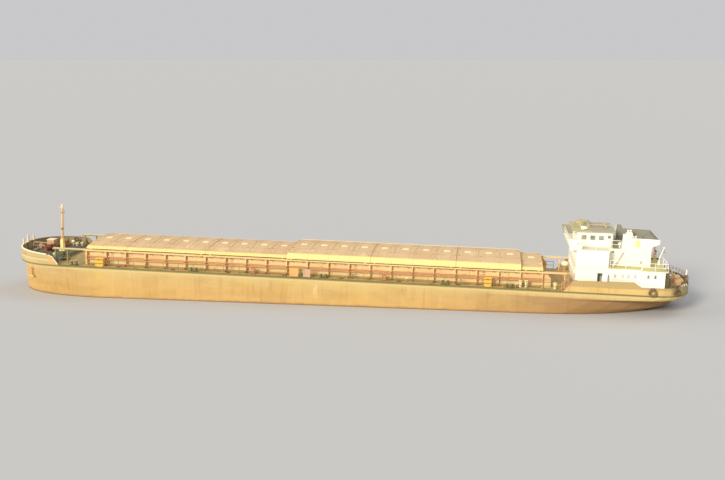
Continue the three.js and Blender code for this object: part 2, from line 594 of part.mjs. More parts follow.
function makeWindlass() {
  const frames = [-1.0, -0.35, 0.35, 1.0].map((y) => box(-0.35, 0.35, y - 0.06, y + 0.06, 0, 0.75));
  const shaft = bar('y', [0, -1.5, 0.55], 0.1, 3.0);
  const drums = [[-1.48, 0.3, 0.25], [1.18, 0.3, 0.25], [-0.75, 0.36, 0.25], [0.5, 0.36, 0.25]]
    .map(([y, length, radius]) => bar('y', [0, y, 0.55], radius, length));
  const bed = box(-0.6, 0.6, -1.2, 1.2, 0, 0.12);
  const motor = box(-0.65, 0.15, -0.25, 0.25, 0, 0.85);
  return join([...frames, shaft, ...drums, bed, motor]);
}

function makeWinch() {
  const cheeks = [-0.7, 0.5].map((y) => box(-0.4, 0.4, y, y + 0.1, 0, 0.9));
  const drum = bar('y', [0, -0.65, 0.5], 0.32, 1.2);
  return join([...cheeks, drum, box(-0.5, 0.5, -0.75, 0.75, 0, 0.1)]);
}

// Stockless anchor housed against the bow, its shank up
function makeAnchor() {
  const shank = box(-0.08, 0.08, -0.08, 0.08, -0.2, 1.0);
  const crown = box(-0.45, 0.45, -0.1, 0.1, -0.35, -0.15);
  const fluke = (side) => sidePrism([[0.28, -0.2], [0.45, -0.2], [0.36, 0.5]], -0.05, 0.05)
    .mirror(side > 0 ? [0, 0, 0] : [1, 0, 0]);
  return join([shank, crown, fluke(1), box(-0.45, -0.28, -0.05, 0.05, -0.2, 0.35)]);
}

const BOW_RIM = { tip: -46.02, shoulder: -38, fullness: 2.3, half: 6.5 };
const STERN_RIM = { tip: SHIP.stern, shoulder: DECK_PLAN.aftShoulder, fullness: DECK_PLAN.sternFull,
  half: SHIP.half + SHIP.strake };
const MAST = { x: -41.1, hinge: 7.55, top: 12.95, rake: 2.5 };

function makeMastFoot() {
  const z = SHIP.raisedDeck + GAP;
  const cheeks = twoBoxes(-0.22, 0.22, 0.22, 0.3, z, MAST.hinge + 0.25);
  const heel = box(-0.22, 0.22, -0.3, 0.3, z, MAST.hinge - 0.3);
  const skirt = box(-0.4, 0.4, -0.4, 0.4, z, z + 0.2);
  return join([cheeks, heel, skirt]);
}

function makeForemast() {
  const height = MAST.top - MAST.hinge;
  const pole = bar('z', [0, 0, -0.2], 0.19, height + 0.2, 0.14, 16);
  const yard = box(-0.05, 0.05, -0.75, 0.75, height - 1.15, height - 1.03);
  const lamps = [[-0.3, height - 0.6], [-0.28, height - 2.0]].map(([x, z]) =>
    join([box(x - 0.1, 0, -0.06, 0.06, z - 0.05, z), bar('z', [x, 0, z - 0.05], 0.12, 0.3)]));
  const cap = bar('z', [0, 0, height - 0.02], 0.17, 0.1, 0.17, 16);
  return join([pole, yard, ...lamps, cap]).rotate([0, MAST.rake, 0]);
}

function makeLocker(width, depth, height) {
  const body = box(-width / 2, width / 2, -depth / 2, depth / 2, 0, height);
  return body.add(box(-width / 2 - 0.04, width / 2 + 0.04, -depth / 2 - 0.04, depth / 2 + 0.04,
    height - 0.08, height + 0.05));
}

// Mushroom vents on a common kerb: station, height, head radius
const VENTS = [[25.4, 1.05, 0.3], [26.15, 1.05, 0.3], [29.9, 1.0, 0.32]];

function makeVents() {
  const stem = ([x, height, radius]) => bar('z', [x, 0, 0], radius * 0.6, height - 0.15);
  const head = ([x, height, radius]) => bar('z', [x, 0, height - 0.25], radius, 0.25, radius * 0.7);
  const kerb = box(VENTS[0][0], VENTS[2][0], -0.1, 0.1, 0, 0.12);
  return join([...VENTS.map((vent) => stem(vent).add(head(vent))), kerb]);
}

// Handrail: two rails on posts along X
function makeRail(from, to, base, height, bays) {
  const t = 0.055;
  const parts = [height, height * 0.52].map((z) => box(from, to, -t / 2, t / 2, base + z - t, base + z));
  for (let i = 0; i <= bays; i += 1) {
    const x = from + t / 2 + i * (to - from - t) / bays;
    parts.push(box(x - t / 2, x + t / 2, -t * 0.45, t * 0.45, base + GAP, base + height - t / 2));
  }
  return join(parts);
}

// Two exhaust casings on one seat
function makeFunnels() {
  const casing = (y) => sidePrism([[0.9, 0], [0.95, 1.1], [0.1, 1.1], [0, 0]], y - 0.4, y + 0.4);
  const pipe = (x, y) => bar('z', [x, y, 1.05], 0.14, 0.25);
  const seat = box(0.2, 0.7, -2.2, 2.2, 0, 0.06);
  const parts = [-2.2, 2.2].map((y) => join([casing(y), pipe(0.35, y), pipe(0.7, y)]));
  return join([...parts, seat]);
}

// Truck tyres hung on the bulwark: name, station, height of the middle
const TYRES = [['fore', 42.25, 5.93], ['aft', 45.36, 5.95]];

// Truck tyre, standing in the XZ plane
function makeTyre() {
  const profile = [[0.28, -0.1], [0.34, -0.15], [0.5, -0.15], [0.55, -0.1], [0.55, 0.1], [0.5, 0.15],
    [0.34, 0.15], [0.28, 0.1], [0.28, -0.1]].map(([r, y]) => new THREE.Vector2(r * M, y * M));
  return solid(new THREE.LatheGeometry(profile, 14));
}

function makeLadder(run, rise) {
  const stringer = (y) => sidePrism([[0, 0], [0.2, 0], [run + 0.2, rise], [run, rise]], y - 0.03, y + 0.03);
  const parts = [stringer(-0.3), stringer(0.3)];
  const steps = Math.round(rise / 0.27);
  for (let i = 1; i < steps; i += 1) {
    const share = i / steps;
    const [x, z] = [run * share, rise * share];
    parts.push(box(x + 0.02, x + 0.18, -0.3, 0.3, z - 0.02, z + 0.02));
  }
  return join(parts);
}

// Placement: every mesh sits in the group at its place on the ship

const barge = new THREE.Group();

function place(mesh, x = 0, y = 0, z = 0, turn = 0) {
  mesh.position.set(x * M, y * M, z * M);
  mesh.rotation.z = turn;
  barge.add(mesh);
  return mesh;
}

const SIDES = [['port', -1], ['starboard', 1]];
const DECK_RAIL = { fore: -38.6, aft: 30.5, y: 6.38, height: 1.1, bays: 32 };

place(piece('hull', makeHull(), 'hull'));
for (const [name, side] of SIDES) {
  place(piece(`shaft_${name}`, makeShaft(side), 'steel'));
  place(piece(`propeller_${name}`, makeScrew(side), 'bronze'), SCREW.x, side * SCREW.y, SCREW.z);
  place(piece(`rudder_${name}`, makeRudder(), 'rust'), RUDDER.x, side * SCREW.y, 0);
  place(piece(`coaming_${name}`, makeCoamingSide(side), 'coaming'));
  place(piece(`cover_rail_${name}`, makeCoverRail(side), 'coaming'));
  const rail = makeRail(DECK_RAIL.fore, DECK_RAIL.aft, SHIP.deck, DECK_RAIL.height, DECK_RAIL.bays);
  place(piece(`deck_rail_${name}`, rail, 'rail'), 0, side * DECK_RAIL.y, 0);
}
place(piece('coaming_fore', makeCoamingEnd(HATCH.fore, -1), 'coaming'));
place(piece('coaming_aft', makeCoamingEnd(HATCH.aft, 1), 'coaming'));
makeCovers().forEach((cover) => place(cover));

place(piece('forecastle_deck', makeForecastleDeck(), 'deck'));
place(piece('bow_bulwark', makeBowBulwark(), 'bulwark'));
place(piece('windlass', makeWindlass(), 'rust'), -42.9, -0.3, SHIP.raisedDeck + GAP);
place(piece('bow_winch', makeWinch(), 'rust'), -42.15, 2.4, SHIP.raisedDeck + GAP);
for (const [name, side] of SIDES) {
  const { x, y, turn } = onRim(BOW_RIM, -43.3, 0.11, side);
  place(piece(`anchor_${name}`, makeAnchor(), 'hull'), x, y, 3.75, turn);
}
place(piece('mast_foot', makeMastFoot(), 'white'), MAST.x, 0, 0);
place(piece('foremast', makeForemast(), 'white'), MAST.x, 0, MAST.hinge);
place(piece('bow_locker', makeLocker(1.05, 1.2, 1.05), 'white'), -44.0, 2.65, SHIP.raisedDeck + GAP);
place(piece('deck_locker_fore', makeLocker(1.15, 0.7, 1.1), 'yellow'), -32.9, -5.75, SHIP.deck + GAP);
place(piece('deck_locker_aft', makeLocker(1.0, 0.7, 1.15), 'yellow'), 21.1, -5.75, SHIP.deck + GAP);
place(piece('deck_vents', makeVents(), 'white'), 0, -5.8, SHIP.deck + GAP);

place(piece('poop_deck', makePoopDeck(), 'deck'));
place(piece('stern_bulwark', makeSternBulwark(), 'hull'));
place(piece('lower_house', makeLowerHouse(), 'white'));
place(piece('boat_deck', makeBoatDeck(), 'white'));
place(piece('upper_house', makeUpperHouse(), 'white'));
place(piece('bridge_deck', makeBridgeDeck(), 'white'));
place(piece('wheelhouse', makeWheelhouse(), 'white'));
place(piece('wheelhouse_roof', makeRoof(), 'white'));
place(piece('radar_mast', makeRadarMast(), 'white'), RADAR_MAST.x, 0, RADAR_MAST.z);
place(piece('radar_scanner', makeScanner(), 'white'), SCANNER.x, 0, SCANNER.z);

const wingX = HOUSE.waist + 0.04;
const wingY = HOUSE.half - 0.06;
const walkY = HOUSE.upperHalf - 0.02;
const bridgeCorners = [[BRIDGE.wellFore - 0.08, -walkY], [wingX, -walkY], [wingX, -wingY],
  [BRIDGE.screenAft + 0.1, -wingY]];
const foreCorners = [[BRIDGE.fore + 0.06, -wingY + 0.15], [BRIDGE.fore + 0.06, wingY - 0.15]];
const mirrored = bridgeCorners.map(([x, y]) => [x, -y]);
const [railHeight, boatX, boatY] = [1.05, HOUSE.aft + 0.28, HOUSE.wideHalf];
const [walkX, stepX] = [HOUSE.waist + 0.2, HOUSE.wide + 0.1];
const boatCorners = [[walkX, -HOUSE.half], [stepX, -HOUSE.half], [stepX, -boatY], [boatX, -boatY],
  [boatX, boatY], [stepX, boatY], [stepX, HOUSE.half], [walkX, HOUSE.half]];
place(piece('bridge_rail_fore', makeDeckRail(foreCorners, LEVEL.bridge, railHeight), 'white'));
place(piece('bridge_rail_port', makeDeckRail(bridgeCorners, LEVEL.bridge, railHeight), 'white'));
place(piece('bridge_rail_starboard', makeDeckRail(mirrored, LEVEL.bridge, railHeight), 'white'));
place(piece('boat_deck_rail', makeDeckRail(boatCorners, LEVEL.boat, railHeight), 'white'));

// House doors hang on their aft edge, the port one open; wheelhouse doors slide, with handles outside only
const PORT_DOOR_OPEN = 135 * Math.PI / 180;
for (const [name, side] of SIDES) {
  const hinge = DOOR.width / 2 + DOOR.lap;
  const open = side < 0 ? PORT_DOOR_OPEN : 0;
  const [houseY, wheelY] = [side * (HOUSE.half + DOOR.off), side * (WHEEL.half + DOOR.off)];
  const [houseSill, wheelSill] = [SHIP.raisedDeck + DOOR.sill, LEVEL.bridge + DOOR.sill];
  const hung = piece(`house_door_${name}`, makeDoor([1, -1]), 'yellow');
  const sliding = piece(`wheelhouse_door_${name}`, makeDoor([-side]), 'white');
  place(hung, DOOR.lowX + hinge, houseY, houseSill, open);
  place(sliding, DOOR.wheelX - hinge, wheelY, wheelSill, Math.PI);
  for (const [end, station, height] of TYRES) {
    const { x, y, turn } = onRim(STERN_RIM, station, 0.16, side);
    place(piece(`fender_${name}_${end}`, makeTyre(), 'rubber'), x, y, height, turn);
  }
}
place(piece('funnels', makeFunnels(), 'white'), 39.6, 0, LEVEL.bridge + GAP);
place(piece('davit', makeDavit(), 'white'), DAVIT.x, DAVIT.y, DAVIT.z);
place(piece('stern_windlass', makeWindlass(), 'rust'), 46.05, -1.65, SHIP.raisedDeck + GAP);
place(piece('bridge_ladder', makeLadder(1.1, 2.2), 'steel'), 37.2, -4.0, LEVEL.boat + GAP);

export default barge;
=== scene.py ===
import json
import math

import bmesh
import bpy
from mathutils import Matrix, Vector


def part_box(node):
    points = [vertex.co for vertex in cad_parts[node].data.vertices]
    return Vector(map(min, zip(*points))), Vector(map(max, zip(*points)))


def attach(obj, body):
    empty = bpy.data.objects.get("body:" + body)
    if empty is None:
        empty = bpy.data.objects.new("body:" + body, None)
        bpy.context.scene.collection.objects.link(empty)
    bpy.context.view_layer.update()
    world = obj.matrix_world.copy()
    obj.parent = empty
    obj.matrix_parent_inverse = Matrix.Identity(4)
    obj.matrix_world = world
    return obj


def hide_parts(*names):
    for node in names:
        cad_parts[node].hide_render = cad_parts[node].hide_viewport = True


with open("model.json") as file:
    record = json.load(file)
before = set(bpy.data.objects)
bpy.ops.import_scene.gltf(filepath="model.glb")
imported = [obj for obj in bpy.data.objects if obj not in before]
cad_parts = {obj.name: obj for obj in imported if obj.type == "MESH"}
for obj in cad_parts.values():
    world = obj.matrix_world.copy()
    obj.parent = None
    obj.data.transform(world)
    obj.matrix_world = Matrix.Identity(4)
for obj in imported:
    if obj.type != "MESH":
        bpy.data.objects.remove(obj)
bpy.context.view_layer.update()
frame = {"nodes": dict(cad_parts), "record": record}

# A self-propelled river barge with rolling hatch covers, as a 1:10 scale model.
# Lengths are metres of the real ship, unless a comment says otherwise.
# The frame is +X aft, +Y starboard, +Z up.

SCALE = 0.1  # model metres for one metre of the ship

# The same driving dimensions as the solids have
DECK, RAISED_DECK, BOAT_DECK, BRIDGE_DECK, ROOF = 5.5, 6.1, 8.65, 10.95, 13.07
PANEL, PANELS = 2.886, 22  # length of a hatch panel, and how many there are
HATCH_FORE = -35.15
HATCH_AFT = HATCH_FORE + PANELS * PANEL
COVER_BOTTOM, COVER_CROWN = 7.78, 0.36
HOUSE_FORE, HOUSE_AFT = 32.45, 43.75
# half breadths of the house's walls: its fore part, its wide after part, the casing and the wheelhouse
HOUSE_HALF, WIDE_HALF, CASING_HALF, WHEELHOUSE_HALF = 5.5, 6.2, 3.6, 3.0
SCREW_X, SCREW_Y, SCREW_Z, RUDDER_X = 41.0, 2.6, 1.1, 42.5
WATERLINE, TRIM = 1.76, 0.0196  # height amidships, and how it rises towards the stern
MAST_X, MAST_HINGE, MAST_RAKE = -41.1, 7.55, 2.5
# tip, shoulder, fullness and half breadth of the deck's plan at either end
BOW_PLAN = (-46.65, -38.2, 2.3, 6.5)
STERN_PLAN = (47.75, 42.0, 2.5, 6.5)
BULWARK_WALL = 0.07
SIDES = (("port", -1), ("starboard", 1))
AFT, ACROSS, UP = (1, 0, 0), (0, 1, 0), (0, 0, 1)


# Making shapes

def at(x, y, z):
    """A point of the ship, in model metres."""
    return Vector((x, y, z)) * SCALE


def edges_of(made):
    """Each edge of what an operator made, once, in the same order in every run."""
    return list(dict.fromkeys(e for v in made["verts"] for e in v.link_edges))


def shapes(count):
    """Several empty shapes."""
    return [bmesh.new() for _ in range(count)]


def block(bm, low, high, bevel=0.0):
    """A box between two corners, its edges rounded by a bevel in ship metres."""
    low, high = at(*low), at(*high)
    place = Matrix.Translation((low + high) / 2) @ Matrix.Diagonal((*(high - low), 1))
    made = bmesh.ops.create_cube(bm, size=1, matrix=place)
    if bevel:
        bmesh.ops.bevel(bm, geom=edges_of(made), offset=bevel * SCALE, segments=2, profile=0.5,
                        affect="EDGES", material=-1)


def pad(bm, x, y, half_x, half_y, bottom, top, bevel=0.0):
    """A box round an upright line, between two heights."""
    block(bm, (x - half_x, y - half_y, bottom), (x + half_x, y + half_y, top), bevel)


def rod(bm, a, b, radius, sides=8, end_radius=None):
    """A round bar between two points, tapered where its end has another radius."""
    a, b = at(*a), at(*b)
    turn = Vector((0, 0, 1)).rotation_difference((b - a).normalized()).to_matrix().to_4x4()
    end = radius if end_radius is None else end_radius
    bmesh.ops.create_cone(bm, cap_ends=True, segments=sides, radius1=radius * SCALE, radius2=end * SCALE,
                          depth=(b - a).length, matrix=Matrix.Translation((a + b) / 2) @ turn)


def slat(bm, a, b, width, thick):
    """A flat bar between two points of a cross-section: its width lies along X."""
    a, b = at(*a), at(*b)
    run = (b - a).normalized()
    side = Vector((1, 0, 0))
    turn = Matrix((side, run, side.cross(run))).transposed().to_4x4()
    size = Matrix.Diagonal((width * SCALE, (b - a).length, thick * SCALE, 1))
    bmesh.ops.create_cube(bm, size=1, matrix=Matrix.Translation((a + b) / 2) @ turn @ size)


def plate(bm, outline, depth):
    """A flat plate with the given corners, as thick as the depth vector."""
    face = bm.faces.new([bm.verts.new(at(*corner)) for corner in outline])
    made = bmesh.ops.extrude_face_region(bm, geom=[face])
    fresh = [part for part in made["geom"] if isinstance(part, bmesh.types.BMVert)]
    bmesh.ops.translate(bm, verts=fresh, vec=Vector(depth) * SCALE)


def swept(bm, points, section, sides):
    """A bar along a line of points; section turns and sizes a unit circle of that many sides."""
    points = [at(*p) for p in points]
    up = Vector((0, 0, 1))
    loops = []
    for i, point in enumerate(points):
        run = (points[min(i + 1, len(points) - 1)] - points[max(i - 1, 0)]).normalized()
        if abs(up.dot(run)) > 0.95:
            up = Vector((1, 0, 0))
        up = (up - run * up.dot(run)).normalized()
        turn = Matrix((run.cross(up), up, -run)).transposed().to_4x4()
        made = bmesh.ops.create_circle(bm, cap_ends=i in (0, len(points) - 1), radius=1, segments=sides,
                                       matrix=Matrix.Translation(point) @ turn @ section)
        loops.append(edges_of(made))
    for one, other in zip(loops, loops[1:]):
        bmesh.ops.bridge_loops(bm, edges=one + other)


def pipe(bm, points, radius, sides=8):
    """A bar of round section along a line of points."""
    swept(bm, points, Matrix.Diagonal((radius * SCALE, radius * SCALE, 1, 1)), sides)


def handrail(bm, fore, aft, wall, reach, z, radius):
    """A level bar along a side wall, bent in to it at both ends."""
    pipe(bm, [(fore, wall, z), (fore, wall + reach, z), (aft, wall + reach, z), (aft, wall, z)], radius, 6)


def flat_bar(bm, points, width, height):
    """A bar of rectangular section along a line of points, its width level."""
    half = math.sqrt(0.5) * SCALE
    size = Matrix.Diagonal((width * half, height * half, 1, 1))
    swept(bm, points, size @ Matrix.Rotation(math.pi / 4, 4, "Z"), 4)


def turned(bm, profile, centre, axis=UP, steps=20):
    """A turned shape: the profile's (radius, height) points are spun about an axis through the centre."""
    place = Vector((0, 0, 1)).rotation_difference(Vector(axis)).to_matrix().to_4x4()
    place = Matrix.Translation(at(*centre)) @ place
    points = [bm.verts.new(place @ (Vector((r, 0, h)) * SCALE)) for r, h in profile]
    edges = [bm.edges.new(pair) for pair in zip(points, points[1:])]
    bmesh.ops.spin(bm, geom=points + edges, cent=place.translation, axis=place.to_3x3() @ Vector((0, 0, 1)),
                   angle=math.tau, steps=steps, use_merge=True)


def drum(bm, centre, axis, radius, start, end, steps=20):
    """A closed drum or disc between two distances along its axis."""
    turned(bm, [(0, start), (radius, start), (radius, end), (0, end)], centre, axis, steps)


def ring(bm, centre, axis, radius, thick, steps=20, sides=6):
    """A ring of round section about an axis."""
    angles = [i / sides * math.tau for i in range(sides + 1)]
    turned(bm, [(radius + thick * math.cos(a), thick * math.sin(a)) for a in angles], centre, axis, steps)


def finished(bm, name, material, smooth=None, body="ship"):
    """The shape as a piece: it takes a material, is smooth up to an angle in degrees, and rides on a body."""
    bmesh.ops.remove_doubles(bm, verts=bm.verts, dist=1e-6)
    bmesh.ops.recalc_face_normals(bm, faces=bm.faces)
    mesh = bpy.data.meshes.new(name)
    bm.to_mesh(mesh)
    bm.free()
    piece = bpy.data.objects.new(name, mesh)
    bpy.context.scene.collection.objects.link(piece)
    mesh.materials.append(material)
    if smooth:
        mesh.shade_smooth()
        mesh.set_sharp_from_angle(angle=math.radians(smooth))
    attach(piece, body)
    return piece


def end_line(plan, limit, inset, height, steps=22):
    """Points round the bow or stern from port to starboard, inset from the deck's edge, up to a station."""
    tip, shoulder, fullness, half = plan
    outward = 1 if tip > shoulder else -1
    line = []
    for i in range(-steps, steps + 1):
        angle = i / steps * math.pi / 2
        x = shoulder + (tip - outward * inset - shoulder) * math.cos(angle) ** (2 / fullness)
        y = math.copysign((half - inset) * abs(math.sin(angle)) ** (2 / fullness), angle)
        if (x - limit) * outward > 0:
            line.append((x, y, height(x)))
    return line


def edge_at(plan, x, inset):
    """Half breadth of the deck at a station near either end."""
    tip, shoulder, fullness, half = plan
    share = min(max((x - shoulder) / (tip - shoulder), 0), 1)
    return half * (1 - share ** fullness) ** (1 / fullness) - inset


# Materials

def colour(red, green, blue):
    """A colour on a 0 to 255 scale, made linear."""
    def linear(value):
        value /= 255
        return value / 12.92 if value <= 0.04045 else ((value + 0.055) / 1.055) ** 2.4
    return (linear(red), linear(green), linear(blue), 1)


RUST = (150, 88, 50)
GRIME = (92, 82, 58)


class Finish:
    """A paint or other finish, laid on step by step from patterns on the ship's own axes.

    Colours are given on a 0 to 255 scale, heights and stations in metres of the ship.
    """

    def __init__(self, name, base, roughness=0.6, metal=0.0):
        self.material = bpy.data.materials.new(name)
        self.material.use_nodes = True
        self.tree = self.material.node_tree
        self.shader = self.tree.nodes["Principled BSDF"]
        self.shader.inputs["Roughness"].default_value = roughness
        self.shader.inputs["Metallic"].default_value = metal
        self.place = self.node("ShaderNodeTexCoord").outputs["Object"]
        axes = self.node("ShaderNodeSeparateXYZ")
        self.feed(self.place, axes.inputs[0])
        self.x, self.y, self.z = (self.maths("MULTIPLY", axes.outputs[name], 1 / SCALE) for name in "XYZ")
        self.out = self.maths("ABSOLUTE", self.y)
        self.layer = colour(*base)
        self.height = None

    def node(self, kind):
        return self.tree.nodes.new(kind)

    def feed(self, value, socket):
        if isinstance(value, (int, float, tuple)):
            socket.default_value = value
        else:
            self.tree.links.new(value, socket)

    def maths(self, operation, a, b=0.0):
        made = self.node("ShaderNodeMath")
        made.operation = operation
        self.feed(a, made.inputs[0])
        self.feed(b, made.inputs[1])
        return made.outputs[0]

    def noise(self, scale, stretch=(1, 1, 1), detail=4.0, rough=0.55, shift=0.0):
        """Cloudy noise from 0 to 1; stretch is how much finer it is along each axis."""
        mapping = self.node("ShaderNodeMapping")
        self.feed(self.place, mapping.inputs["Vector"])
        mapping.inputs["Scale"].default_value = stretch
        mapping.inputs["Location"].default_value = (shift, shift * 0.7, shift * 1.3)
        made = self.node("ShaderNodeTexNoise")
        self.feed(mapping.outputs[0], made.inputs["Vector"])
        made.inputs["Scale"].default_value = scale
        made.inputs["Detail"].default_value = detail
        made.inputs["Roughness"].default_value = rough
        return made.outputs["Fac"]

    def step(self, value, start, full):
        """A smooth step from 0 at the start to 1 where it is full, in either direction."""
        made = self.node("ShaderNodeMapRange")
        made.interpolation_type = "SMOOTHSTEP"
        rising = full > start
        self.feed(value, made.inputs["Value"])
        made.inputs["From Min"].default_value = min(start, full)
        made.inputs["From Max"].default_value = max(start, full)
        made.inputs["To Min"].default_value = 0.0 if rising else 1.0
        made.inputs["To Max"].default_value = 1.0 if rising else 0.0
        return made.outputs["Result"]

    def limit(self, limit):
        """A mask as it is, or one made from a value or an axis.

        It goes from 0 at the start to 1 where it is full or, if a softness is given, is 1 between the two.
        """
        if not isinstance(limit, tuple):
            return limit
        value, start, full, *band = limit
        if isinstance(value, str):
            value = getattr(self, value)
        if not band:
            return self.step(value, start, full)
        (soft,) = band
        return self.maths("MULTIPLY", self.step(value, start - soft, start + soft),
                          self.step(value, full + soft, full - soft))

    def lay(self, paint, amount, *limits):
        """Lays a colour over what is there, where all the limits hold."""
        mask = self.limit(limits[0])
        for limit in limits[1:]:
            mask = self.maths("MULTIPLY", mask, self.limit(limit))
        made = self.node("ShaderNodeMix")
        made.data_type = "RGBA"
        self.feed(self.maths("MULTIPLY", mask, amount), made.inputs["Factor"])
        self.feed(self.layer, made.inputs["A"])
        self.feed(colour(*paint), made.inputs["B"])
        self.layer = made.outputs["Result"]

    def wavy(self, value, noise, amount):
        """A value whose lines waver with a noise."""
        return self.maths("ADD", value, self.maths("MULTIPLY", noise, amount))

    def emboss(self, mask, amount):
        part = self.maths("MULTIPLY", mask, amount)
        self.height = part if self.height is None else self.maths("ADD", self.height, part)

    def dull(self, mask, low, high):
        """Roughness from low to high over the mask."""
        made = self.node("ShaderNodeMapRange")
        self.feed(mask, made.inputs["Value"])
        made.inputs["To Min"].default_value = low
        made.inputs["To Max"].default_value = high
        self.feed(made.outputs["Result"], self.shader.inputs["Roughness"])

    def weather(self, faded, streak, mottle, rust=RUST):
        """Fading in patches, rust that runs down from above, rusty pocks and a fine grain."""
        patches = self.noise(3.0, (0.6, 1, 1.6), 6)
        self.lay(faded, mottle, (patches, 0.42, 0.66))
        runs = self.noise(5.0, (6.0, 6.0, 0.4), 5, 0.6, 3.1)
        where = self.noise(1.6, (1, 1, 1.2), 3, 0.5, 7.0)
        self.lay(rust, streak, (runs, 0.52, 0.68), (where, 0.42, 0.6))
        pocks = self.step(self.noise(48.0, (1, 1, 1), 3), 0.63, 0.73)
        self.lay(rust, min(streak * 1.4, 1), pocks, (where, 0.38, 0.6))
        self.emboss(patches, 0.6)
        self.emboss(self.noise(170.0, (1, 1, 1), 2), 0.25)
        self.emboss(pocks, -0.35)
        self.dull(patches, 0.5, 0.85)

    def plating(self, width, height, lighter, seam, amount):
        """Welded plates in the XZ plane, each of its own tone, with a sunk seam round it."""
        mapping = self.node("ShaderNodeMapping")
        mapping.inputs["Rotation"].default_value = (math.radians(90), 0, 0)
        self.feed(self.place, mapping.inputs["Vector"])
        plates = self.node("ShaderNodeTexBrick")
        self.feed(mapping.outputs[0], plates.inputs["Vector"])
        settings = {"Scale": 1.0, "Mortar Size": 0.0014, "Mortar Smooth": 0.4, "Brick Width": width * SCALE,
                    "Row Height": height * SCALE, "Color1": (0, 0, 0, 1), "Color2": (1, 1, 1, 1),
                    "Mortar": (0.5, 0.5, 0.5, 1)}
        for socket, value in settings.items():
            plates.inputs[socket].default_value = value
        self.lay(lighter, amount, plates.outputs["Color"])
        self.lay(seam, amount, plates.outputs["Fac"])
        self.emboss(plates.outputs["Fac"], -0.5)

    def done(self, bump=0.35):
        self.feed(self.layer, self.shader.inputs["Base Color"])
        if self.height is not None:
            made = self.node("ShaderNodeBump")
            made.inputs["Strength"].default_value = bump
            made.inputs["Distance"].default_value = 0.02 * SCALE
            self.feed(self.height, made.inputs["Height"])
            self.feed(made.outputs["Normal"], self.shader.inputs["Normal"])
        return self.material


def hull_finish():
    """Golden tan topsides in plates: green deck edge darkened by painted shade, pale strake, rust, painted
    shade on the run and at the stern, and a wet waterline.
    """
    finish = Finish("hull_paint", (202, 172, 108), 0.7)
    clouds = finish.noise(1.2, (1, 1, 2.4), 5, 0.55, 4.0)
    finish.lay((214, 178, 88), 0.6, (clouds, 0.5, 0.68))
    finish.lay((196, 154, 106), 0.6, (clouds, 0.5, 0.34))
    finish.lay((206, 154, 78), 0.45, ("z", 4.4, 3.1))
    finish.weather((182, 146, 84), 0.4, 0.5)
    finish.plating(6.2, 1.3, (214, 184, 118), (158, 120, 74), 0.22)
    drips = finish.noise(4.0, (2.6, 2.6, 0.3), 5, 0.6, 9.0)
    finish.lay((174, 132, 78), 0.28, (drips, 0.54, 0.74))
    finish.lay((220, 192, 128), 0.25, (drips, 0.45, 0.3))
    finish.lay((212, 188, 126), 0.4, ("z", 4.3, 5.2))
    # scrapes of quays and locks, drawn out along the side
    scrapes = finish.noise(16.0, (0.16, 1, 3.0), 5, 0.6, 11.0)
    finish.lay((196, 142, 98), 0.5, (scrapes, 0.58, 0.7), ("z", 2.4, 4.8, 0.8))
    # dirt washed down from the break of the fore deck
    finish.lay((176, 144, 96), 0.55, ("x", -41.6, -36.8, 1.2), ("z", 4.3, 4.9), (drips, 0.3, 0.6))
    # a pale overflow mark on the port side amidships
    ragged = finish.noise(14.0, (6.0, 1.0, 0.5), 5, 0.6, 1.0)
    finish.lay((240, 216, 156), 0.55, ("x", -2.3, -1.8, 0.2), ("z", 2.9, 4.6, 0.7), (ragged, 0.36, 0.56),
               ("y", -6.0, -6.4))
    # painted shade: the after body's run below the knuckle is pink-brown, and the stern brown-grey from soot,
    # mud and painted shade
    edge = finish.wavy(finish.x, finish.noise(3.0, (1, 1, 2)), 14.0)
    finish.lay((150, 112, 74), 0.8, (edge, 20.0, 42.0), ("z", 4.78, 4.55))
    finish.lay((146, 134, 106), 0.8, ("x", 45.4, 47.4))
    # wet and rusty at the waterline, which follows the trim
    above = finish.maths("SUBTRACT", finish.z, finish.maths("MULTIPLY", finish.x, TRIM))
    wavy = finish.wavy(above, finish.noise(7.0, (1, 1, 0.3)), 0.5)
    finish.lay((160, 118, 66), 0.75, (wavy, 2.4, 2.05))
    finish.lay((94, 58, 40), 0.85, (above, 1.95, 1.72))
    # the strake under the deck, and the deck's edge in green deck paint darkened by painted shade
    finish.lay((228, 208, 148), 0.6, ("z", 5.02, 5.3, 0.03))
    finish.lay((116, 112, 62), 0.9, ("z", 5.29, 5.32))
    # the deck's top: worn sand paint, dark at its edge from green deck paint and painted shade
    deck = ("z", DECK - 0.015, DECK - 0.005)
    finish.lay((196, 172, 112), 0.95, deck)
    finish.lay((150, 128, 82), 0.8, deck, (finish.noise(9.0, (1, 1, 1), 6), 0.46, 0.7))
    finish.lay((100, 100, 60), 0.9, deck, ("out", 6.25, 6.35))
    # the holds' inside
    finish.lay((122, 80, 58), 0.9, ("x", -34.83, 28.02, 0.01), ("out", 4.515, 4.505), ("z", 0.98, 5.48, 0.01))
    return finish.done()


def painted(name, base, faded, streak=0.35, mottle=0.5, bump=0.3, metal=0.0, rust=RUST, rough=0.6, layers=()):
    """A weathered paint; layers are colours that are laid on it."""
    finish = Finish(name, base, rough, metal)
    finish.weather(faded, streak, mottle, rust)
    for layer in layers:
        finish.lay(*layer)
    return finish.done(bump)


def inside_of(finish, plan):
    """1 on the inner side of the bulwark round the bow or stern."""
    tip, shoulder, fullness, half = plan
    share = finish.maths("DIVIDE", finish.maths("SUBTRACT", finish.x, shoulder), tip - shoulder)
    share = finish.maths("POWER", finish.maths("MAXIMUM", share, 0.0), fullness)
    breadth = finish.maths("POWER", finish.maths("DIVIDE", finish.out, half), fullness)
    rim, soft = (1 - BULWARK_WALL / half) ** fullness, 0.004
    return finish.step(finish.maths("ADD", share, breadth), rim + soft, rim - soft)


